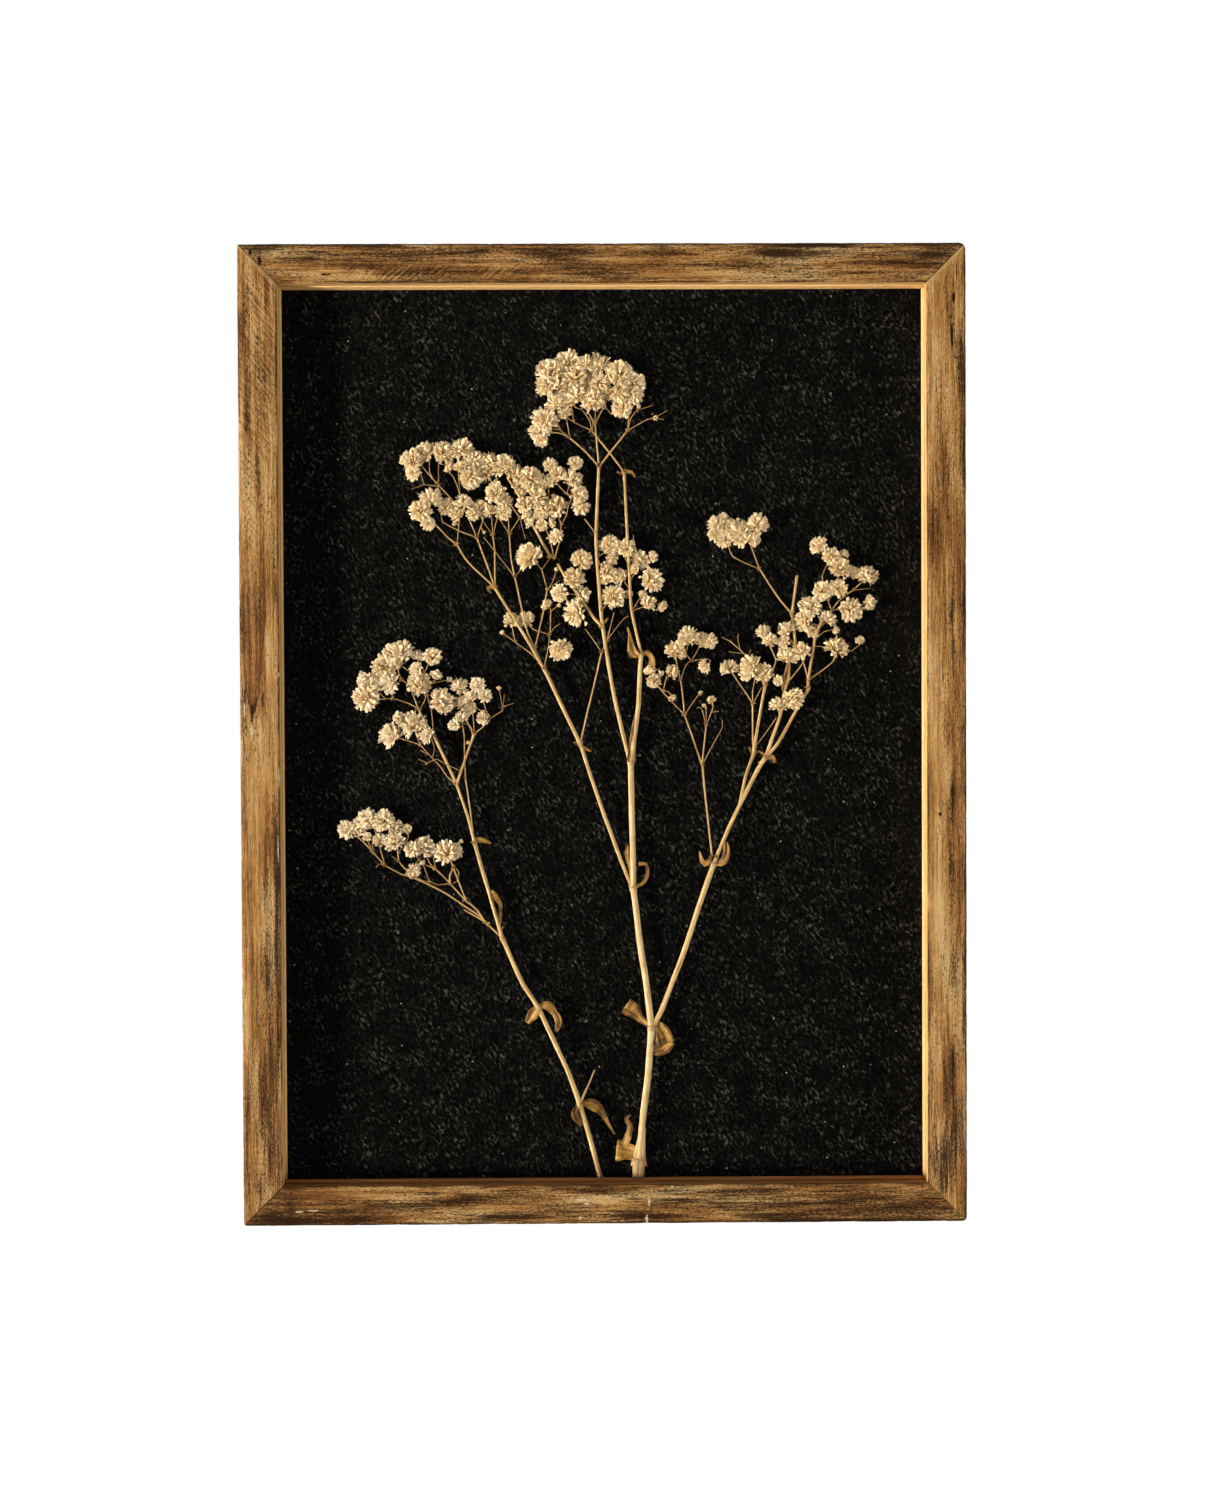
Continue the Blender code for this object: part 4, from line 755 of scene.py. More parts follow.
def dried_stalk():
    """Straw-coloured dry stalk: golden brown on twigs, paler on thick stems, brown at the knots, a dull
    waxy gloss, and fine darker lines lengthwise."""
    made, tree = start_material("dried_stalk")
    knot, thick, along, around = (
        add_node(tree, "Attribute", out="Fac", attribute_name=name) for name in PLANT_NUMBERS)
    lines = add_node(tree, "CombineXYZ", [along, around])
    lines = add_node(tree, "VectorMath", [lines, (1 / 9.0, 11.0, 1.0)], operation="MULTIPLY")
    fibre = add_node(tree, "TexNoise", {"Vector": lines, "Scale": 1.0, "Detail": 3.0})
    down = add_node(tree, "CombineXYZ", [along])
    blotch = add_node(tree, "TexNoise", {"Vector": down, "Scale": 1 / 4.5, "Detail": 3.0})
    mixed = -0.4
    for figure, share in ((thick, 0.34), (fibre, 1.1), (blotch, 0.6)):
        mixed = add_node(tree, "Math", [figure, share, mixed], operation="MULTIPLY_ADD")
    straw = add_node(tree, "ValToRGB", [mixed], stops=(
        (0.34, "#6B4A22"), (0.50, "#A5824A"), (0.66, "#BD9F68"), (0.85, "#CBB486")))
    brown = add_node(tree, "Math", [knot, 0.7], operation="MULTIPLY")
    colour = add_node(tree, "Mix", {0: brown, 6: straw, 7: srgb("#8A5C2C")}, 2, data_type="RGBA")
    relief = add_node(tree, "Bump", {"Strength": 0.5, "Distance": 0.06 * MM, "Height": fibre})
    shader = add_node(tree, "BsdfPrincipled", {
        "Base Color": colour, "Roughness": 0.5, "IOR": 1.46, "Normal": relief})
    add_node(tree, "OutputMaterial", [shader])
    return made


# ---------------------------------------------------------------- dried leaves and bracts
# Narrow leaves sit in pairs at the forks. They dried before they were pressed, so they are twisted,
# cupped and ragged. The small scales at the forks and under the flowers are the same brown stuff.

LEAF_STEP = 0.8             # mm
LEAF_SKIN = 0.14            # mm thick
LEAF_COLUMNS = 5
LEAF_TWIST = 0.5            # radians
LEAF_TWIST_WAVE = 4.0       # mm from one turn to the next, about
LEAF_CUP = 0.5              # mm that the rims stand up, for each mm from the rib
LEAF_FOLD = 0.8             # mm that a blade buckles
LEAF_FOLD_WAVE = 4.5
LEAF_ARCH = 0.5             # mm that its middle rises
LEAF_RAGGEDNESS = 0.12      # mm, and also the share that its width wanders
LEAF_RIM_WAVE = 0.9
LEAF_WIDTH_WAVE = 1.3
LEAF_LIFTS = (1.4, 3.4)     # mm from the paper, least and most
LEAF_BUCKLES = (-1.6, 1.7)  # mm to either side of that
BRACT_SIZE = 0.5            # mm
BRACT_GROWTH = 0.55         # mm more for each mm that the shoot is wide
BRACT_TURNS = (0.5, 1.1)    # radians from the way of the stalk
BRACT_LENGTHS = (0.8, 1.3)  # share of their size
BRACT_WIDTHS = (0.35, 0.55, 0.12)   # share of their size at the foot, the middle and the tip
BRACT_LIFTS = (-0.1, 0.5)   # mm over the middle of the stalk


def add_leaf(heap, spine, lift, seed):
    """A cupped, twisted blade along (across, up, width) points in mm."""
    curve = smooth_path(spine, LEAF_STEP)
    along, share, side = lengthwise(curve)
    half = curve[:, 2] / 2 * (1 + LEAF_RAGGEDNESS * wave(along, seed, LEAF_WIDTH_WAVE))
    twist = LEAF_TWIST * (math.sin(seed * 2.1) * (1 - share) + wave(along, seed + 5.1, LEAF_TWIST_WAVE))
    cross = np.linspace(1, -1, LEAF_COLUMNS)[None, :]
    columns = range(LEAF_COLUMNS)
    ragged = np.array([wave(along, seed + 11.7 + k, LEAF_RIM_WAVE) for k in columns]).T * LEAF_RAGGEDNESS
    folded = np.array([wave(along, seed + 21.3 + k, LEAF_FOLD_WAVE) for k in columns]).T * LEAF_FOLD
    folded = folded + np.array([0.5 * math.sin(1.9 * seed + 2.4 * k) for k in columns])
    out = half[:, None] * cross + ragged * np.abs(cross)
    cup = (LEAF_CUP * half)[:, None] * (np.abs(cross) - 0.4)
    up = (half * np.sin(twist))[:, None] * cross + cup + folded * np.minimum(1.0, half)[:, None]
    rise = lift + LEAF_ARCH * np.sin(math.pi * share) * math.cos(seed * 3.7)
    rise = np.clip(rise, *LEAF_LIFTS)[:, None]
    skin = LEAF_SKIN * np.array([1.0] * LEAF_COLUMNS + [-1.0] * LEAF_COLUMNS)[None, :] / 2
    out = np.concatenate([out, out[:, ::-1]], axis=1)
    up = np.clip(np.concatenate([up, up[:, ::-1]], axis=1), *LEAF_BUCKLES) + skin
    around = np.concatenate([cross[0], cross[0, ::-1]])[None, :]
    add_rings(heap, ring_points(curve, side, out, PAPER - rise - up), LEAF_FINISH,
              share[:, None], 0.5 + 0.5 * math.sin(seed * 5.3), along[:, None], around)


def add_bracts(heap, x, z, way, size, luck):
    """A pair of small pointed scales at a fork."""
    foot_width, middle_width, tip_width = (size * share for share in BRACT_WIDTHS)
    for hand in (-1, 1):
        turn = hand * luck.uniform(*BRACT_TURNS)
        lean = Matrix.Rotation(turn, 3, "Y") @ Vector((way[0], 0, way[1]))
        length = size * luck.uniform(*BRACT_LENGTHS)
        tip = (x + lean.x * length, z + lean.z * length)
        spine = [(x, z, foot_width), ((x + tip[0]) / 2, (z + tip[1]) / 2, middle_width), (*tip, tip_width)]
        add_leaf(heap, spine, STEM_LIFT + luck.uniform(*BRACT_LIFTS), luck.uniform(0, 50))


def dried_leaf():
    """Dead leaf: ochre with a paler midrib, side veins, brown blotches and a browner rim."""
    made, tree = start_material("dried_leaf")
    shade, along, across = (
        add_node(tree, "Attribute", out="Fac", attribute_name=name) for name in PLANT_NUMBERS[1:])
    place = add_node(tree, "TexCoord", out="Object")
    from_rib = add_node(tree, "Math", [across], operation="ABSOLUTE")
    slanted = add_node(tree, "Math", [from_rib, -0.8, along], operation="MULTIPLY_ADD")
    veins = add_node(tree, "CombineXYZ", [slanted, across])
    veins = add_node(tree, "VectorMath", [veins, (0.12, 3.5, 1.0)], operation="MULTIPLY")
    veins = add_node(tree, "TexNoise", {"Vector": veins, "Scale": 1.0, "Detail": 2.0})
    blotch = add_node(tree, "TexNoise", {"Vector": place, "Scale": 1 / (2.6 * MM), "Detail": 2.0})
    mixed = -0.38
    for figure, share in ((blotch, 1.0), (veins, 0.9), (shade, 0.14), (from_rib, -0.16)):
        mixed = add_node(tree, "Math", [figure, share, mixed], operation="MULTIPLY_ADD")
    colour = add_node(tree, "ValToRGB", [mixed], stops=(
        (0.36, "#4C310E"), (0.50, "#856020"), (0.62, "#A67D36"), (0.80, "#C29A52")))
    relief = add_node(tree, "Bump", {"Strength": 0.5, "Distance": 0.1 * MM, "Height": veins})
    shader = add_node(tree, "BsdfPrincipled", {
        "Base Color": colour, "Roughness": 0.58, "IOR": 1.45, "Normal": relief})
    add_node(tree, "OutputMaterial", [shader])
    return made


# ---------------------------------------------------------------- flower heads
# Double flowers, each a pompon of up to seventy thin fan-shaped petals in rings on a small brown calyx.
# Drying turned them from white to cream, and pressing squashed them front to back. Each petal is browner
# at the foot: partly its own colour, partly painted shade deep between the petals.

HEAD_LIFT = 2.35            # mm from the paper to the middle of a head
HEAD_DRIFT = 0.8            # mm that a head sits nearer to the glass or to the card
HEAD_NEAREST = 4.5          # mm from the paper, just short of the glass
HEAD_FARTHEST = 0.15
HEAD_DEPTH = 0.44           # share of its width, where that leaves room
BUD_DEPTH = 0.8
PETAL_SKIN = 0.07           # mm thick
PETAL_ROWS = np.array([0.0, 0.42, 0.76, 0.93, 1.0])         # share of its length, from the foot
PETAL_WIDTHS = np.array([0.28, 0.74, 1.0, 0.9, 0.55])       # share of its breadth there
# How much petals differ, least and most, as shares of the head's radius where nothing else is said
PETAL_GAPS = 0.28           # of the angle between two petals
PETAL_LEANS = 9.0           # degrees
PETAL_BREADTHS = (0.78, 1.22)
PETAL_REACHES = (0.82, 1.13)
PETAL_BULGES = (-0.04, 0.14)
PETAL_CURLS = (-0.05, 0.16)
PETAL_ROLLS = (-0.9, 0.9)   # radians about its own length
PETAL_CUPS = (-0.3, 0.2)
PETAL_NOTCHES = (-0.16, 0.06)
PETAL_RUFFLE = 0.1
PETAL_FRAY = 0.05           # of its length, at the rim
PETAL_ROOT = 0.06           # how far from the axis it begins
AGE_SHARE = 0.6             # of its tint that it has from its head, the rest is its own
LOOSE_HEAD_WAYS = (-0.5, 0.5)   # how far to either side a head faces whose stalk can't be seen
HEAD_TILTS = (5, 80)        # degrees that a head turns from its stalk's way to the glass
HEAD_SWINGS = (-0.5, 0.5)   # radians that it turns to either side of it
HEAD_PRESSINGS = (0.9, 1.2)     # share of its usual depth
# Sorts of head: least width in mm, rings of petals as (degrees from the axis, number of petals), then
# the breadth of a petal and how far behind the centre it begins, as shares of the radius
HEAD_SORTS = (
    (5.6, ((105, 10), (89, 15), (72, 14), (55, 12), (38, 9), (20, 5), (4, 2)), 0.32, 0.3),
    (3.6, ((103, 8), (85, 13), (65, 12), (45, 9), (25, 5), (6, 2)), 0.38, 0.3),
    (2.2, ((82, 8), (58, 8), (34, 6), (10, 3)), 0.6, 0.3),
    (0.0, ((32, 5), (10, 2)), 1.1, 0.8),
)
CALYX = (((115, 5),), 0.6, 0.3)
CALYX_SHADE = 0.1
CALYX_DROP = 0.22           # how far behind the centre it sits, how big it is and where the stalk
CALYX_SIZE = 0.4            # ends, as shares of the head's radius
STALK_END = 0.3


def add_petals(heap, centre, axis, radius, sort, finish, luck, flat, age=None):
    """Rings of petals that rise from a foot behind the centre and end on a ball round it."""
    rings, width, foot = sort
    turns, leans, breadths = [], [], []
    for lean, count in rings:
        first = luck.random() * 2 * math.pi
        for k in range(count):
            turns.append(first + 2 * math.pi * (k + luck.uniform(-PETAL_GAPS, PETAL_GAPS)) / count)
            leans.append(math.radians(lean + luck.uniform(-PETAL_LEANS, PETAL_LEANS)))
            breadths.append(width * luck.uniform(*PETAL_BREADTHS))
    turns, leans, breadths = (np.array(values)[:, None] for values in (turns, leans, breadths))
    number = len(turns)

    def drawn(low, high, each=1):
        return np.array([luck.uniform(low, high) for k in range(number * each)]).reshape(number, each)

    reach = radius * drawn(*PETAL_REACHES)
    bulge = radius * drawn(*PETAL_BULGES)
    tint = [CALYX_SHADE if age is None else AGE_SHARE * age + (1 - AGE_SHARE) * luck.random()
            for k in range(number)]
    s = PETAL_ROWS[None, :]
    # In the head's own frame, in the plane of each petal: r away from the axis, h along it
    r = reach * np.sin(leans) * s + 2 * s * (1 - s) * bulge * np.cos(leans) + PETAL_ROOT * radius
    h = -foot * radius * (1 - s) + reach * np.cos(leans) * s + 2 * s * (1 - s) * bulge * np.sin(leans)
    curl = drawn(*PETAL_CURLS) * radius
    h = h - curl * s ** 4 * np.sin(leans)
    r = r + curl * s ** 4 * np.cos(leans) * 0.6
    dr, dh = np.gradient(r, axis=1), np.gradient(h, axis=1)
    length = np.sqrt(dr ** 2 + dh ** 2)
    out_r, out_h = -dh / length, dr / length
    flip = np.where(out_r * np.sin(leans) + out_h * np.cos(leans) < 0, -1.0, 1.0)
    out_r, out_h = out_r * flip, out_h * flip
    half = breadths * radius * PETAL_WIDTHS[None, :] / 2
    roll = drawn(*PETAL_ROLLS)[:, :, None]
    cross = np.array([1.0, 0.0, -1.0, -1.0, 0.0, 1.0])
    skin = np.array([1.0, 1.0, 1.0, -1.0, -1.0, -1.0]) * PETAL_SKIN / 2
    ruffle = drawn(-1, 1, 3 * len(PETAL_ROWS)).reshape(number, -1, 3)
    ruffle = np.concatenate([ruffle, ruffle[:, :, ::-1]], axis=2) * s[:, :, None] ** 2
    cup = drawn(*PETAL_CUPS)[:, :, None]
    lift = -cup * half[:, :, None] * cross ** 2 + PETAL_RUFFLE * radius * ruffle + skin
    lift = lift + half[:, :, None] * cross * np.sin(roll)
    notch = drawn(*PETAL_NOTCHES)[:, :, None]
    stretch = 1 + (PETAL_FRAY * ruffle[:, :, ::-1] + notch * (1 - cross ** 2)) * (s[:, :, None] > 0.9)
    pr = r[:, :, None] * stretch + lift * out_r[:, :, None]
    ph = h[:, :, None] * stretch + lift * out_h[:, :, None]
    sway = half[:, :, None] * cross * np.cos(roll)
    cos_t, sin_t = np.cos(turns)[:, :, None], np.sin(turns)[:, :, None]
    local = np.stack([pr * cos_t - sway * sin_t, pr * sin_t + sway * cos_t, ph], axis=-1)
    # Turn the head's axis to where it faces, then press it
    world = local @ np.array(axis.normalized().to_track_quat("Z", "Y").to_matrix()).T
    world[..., 1] *= flat
    world += np.array(centre)
    world[..., 1] = np.clip(world[..., 1], PAPER - HEAD_NEAREST, PAPER - HEAD_FARTHEST)
    # A petal's ring of points runs the other way round where its outer side was flipped
    for k in range(number):
        shape = world[k] if flip[k].mean() < 0 else world[k][:, ::-1]
        add_rings(heap, shape, finish, PETAL_ROWS[:, None], tint[k], 1.7 * k, cross[None, :])


def add_head(heap, x, z, width, stalk_way, seed):
    """One flower: calyx, petals and, for the smallest ones, only a bud. Gives back where its stalk ends."""
    luck = random.Random(seed)
    radius = width / 2
    tilt = math.radians(luck.uniform(*HEAD_TILTS))
    way = Matrix.Rotation(luck.uniform(*HEAD_SWINGS), 3, "Y") @ Vector((stalk_way[0], 0, stalk_way[1]))
    axis = way * math.cos(tilt) + Vector((0, -1, 0)) * math.sin(tilt)
    centre = (x, PAPER - HEAD_LIFT - luck.uniform(-HEAD_DRIFT, HEAD_DRIFT), z)
    flat = HEAD_DEPTH * luck.uniform(*HEAD_PRESSINGS) if radius > 1 else BUD_DEPTH
    sort = next(sort[1:] for sort in HEAD_SORTS if width >= sort[0])
    add_petals(heap, centre, axis, radius, sort, PETAL_FINISH, luck, flat, luck.random())
    under = np.array(centre) - np.array(axis) * radius * CALYX_DROP * np.array((1, flat, 1))
    add_petals(heap, under, axis, max(0.5, radius * CALYX_SIZE), CALYX, LEAF_FINISH, luck, flat)
    return Vector(centre) - axis * radius * STALK_END


def dried_petal(name, tones):
    """Papery dry petals: cream at the rim, tan to brown at the foot (partly painted shade), dull and finely
    creased.
    """
    made, tree = start_material(name)
    grow, shade, across = (
        add_node(tree, "Attribute", out="Fac", attribute_name=name) for name in ("grow", "shade", "round"))
    place = add_node(tree, "TexCoord", out="Object")
    blotch = add_node(tree, "TexNoise", {
        "Vector": place, "Scale": 1 / (1.4 * MM), "Detail": 3.0, "Roughness": 0.6})
    creases = add_node(tree, "CombineXYZ", [across, grow, shade])
    creases = add_node(tree, "TexNoise", {"Vector": creases, "Scale": 5.0, "Detail": 2.0})
    mixed = grow
    for figure, share in ((blotch, 0.5), (creases, 0.2), (shade, 0.48)):
        mixed = add_node(tree, "Math", [figure, share, mixed], operation="MULTIPLY_ADD")
    mixed = add_node(tree, "Math", [mixed, 0.53], operation="MULTIPLY")
    # Browner towards the foot: partly the petal's own colour, partly painted shade in the crevices of the
    # head
    cream = add_node(tree, "ValToRGB", [mixed], stops=zip((0.30, 0.46, 0.66, 0.90), tones))
    old = add_node(tree, "MapRange", [shade, 0.82, 0.98, 0.0, 0.5])
    colour = add_node(tree, "Mix", {0: old, 6: cream, 7: srgb("#B08450")}, 2, data_type="RGBA")
    relief = add_node(tree, "Bump", {"Strength": 0.5, "Distance": 0.08 * MM, "Height": creases})
    shader = add_node(tree, "BsdfPrincipled", {
        "Base Color": colour, "Roughness": 0.75, "IOR": 1.42, "Normal": relief})
    add_node(tree, "OutputMaterial", [shader])
    return made


CREAM_TONES = ("#7F5520", "#D9B577", "#EDD3A2", "#F2E0BA")
WHITER_SPRIG_TONES = ("#825A28", "#D9BA87", "#EDD6AB", "#F3E5C8")    # the smaller spray's petals are whiter
stalk_finish = dried_stalk()
leaf_finish = dried_leaf()
SPRAY_FINISHES = (stalk_finish, leaf_finish, dried_petal("dried_petal", CREAM_TONES))
SPRIG_FINISHES = (stalk_finish, leaf_finish, dried_petal("dried_petal_whiter", WHITER_SPRIG_TONES))


def make_plant(name, plant, seed, finishes):
    """Everything of one plant piece as one mesh: shoots, leaves, flower stalks and flowers."""
    heap = {sort: [] for sort in ("points", "faces", "finish", *PLANT_NUMBERS)}
    luck = random.Random(seed)
    for number, (path, start_width, end_width) in enumerate(plant["shoots"]):
        add_stalk(heap, path, start_width, end_width, STEM_LIFT + LIFT_STEP * (number % 3), seed + number)
        if number and start_width >= SCALES_FROM and path[0][1] > FOOT_HEIGHT:
            way = unit(np.array(path[1]) - np.array(path[0]))
            add_bracts(heap, *path[0], way, BRACT_SIZE + BRACT_GROWTH * start_width, luck)
    for number, spine in enumerate(plant["leaves"]):
        add_leaf(heap, spine, STEM_LIFT - LIFT_STEP * (number % 3), seed + 100.3 + number)
    for number, (x, z, width, *stalk_start) in enumerate(plant["heads"]):
        reach = math.dist((x, z), stalk_start) if stalk_start else 0.0
        if not stalk_start:
            way = unit(np.array((luck.uniform(*LOOSE_HEAD_WAYS), 0.9)))
        elif reach > LEAST_FLOWER_STALK:
            way = (np.array((x, z)) - np.array(stalk_start)) / reach
        else:
            way = (0.0, 1.0)
        foot = add_head(heap, x, z, width, way, seed * 1000 + number)
        if reach > LEAST_FLOWER_STALK:
            add_stalk(heap, [stalk_start, (foot.x, foot.z)], *FLOWER_STALK, STEM_LIFT, seed + 200 + number,
                      PAPER - foot.y)
    points = (np.vstack(heap["points"]) * MM).tolist()
    faces = np.vstack(heap["faces"]).tolist()
    numbers = {sort: np.concatenate(heap[sort]) for sort in PLANT_NUMBERS}
    mesh = build_piece("dried_" + name, points, faces, numbers, finishes, name)
    mesh.polygons.foreach_set("material_index", np.concatenate(heap["finish"]).astype(np.int32))


# ---------------------------------------------------------------- main stem
# The thick stem of the right-hand spray, from its cut foot to its topmost fork, with its curled leaves.
# Dots of clear glue hold it to the card, as they hold every other stalk.

# Shoots are ([points], width where it starts, where it ends), heads are (across, up, width, where
# the stalk starts) and leaves are [(across, up, width)], in mm across from the middle and up from the foot
MAIN_STEM = {
    "shoots": [
        ([(8.6, 11.5), (8.7, 16.2)], 2.6, 3), ([(9.7, 11.5), (9.7, 16)], 2.4, 2.7),
        ([(9.3, 17), (10.3, 25.5), (11.3, 34), (12.3, 45), (13, 53.5)], 2, 2.2),
        ([(8, 15), (8.8, 19), (10.1, 25.5)], 1.9, 1.2), ([(10.6, 15), (10.5, 19), (10.6, 25)], 1.8, 1.2),
        ([(13, 53), (8, 92.5)], 2.1, 2), ([(8, 92), (7.5, 127.4)], 1.9, 1.9),
    ],
    "heads": [],
    "leaves": [
        [(12.6, 53.6, 1.4), (10.4, 55.5, 2.2), (8.2, 57.8, 3.8), (5.8, 59.6, 4.8)],
        [(14.4, 54.5, 2.2), (15.8, 52.2, 4.8), (16.9, 48.9, 5)],
        [(18.4, 49.9, 2.8), (15.8, 47.8, 4.4), (13, 46.8, 3)],
        [(7.5, 96, 1), (7, 99, 1.2), (6.3, 102, 1.4), (6.7, 104.5, 0.9)],
        [(8, 92.4, 1), (11, 94, 1), (12, 96.5, 1), (11.5, 99, 1), (9.5, 99, 1)],
        [(8.6, 18, 4), (6, 18.8, 4.8), (3, 19.2, 5.6)],
        [(5.2, 20.5, 2), (6.4, 23.5, 1.8), (6.8, 26, 1.6), (5.9, 28, 1.2), (7, 29, 0.4)],
    ],
}

make_plant("main_stem", MAIN_STEM, 11, SPRAY_FINISHES)

# ---------------------------------------------------------------- left branch
# The long branch that leans left from the middle fork and carries the broad upper left cloud of flowers.
# It was pressed flat, so that its heads lie side by side.

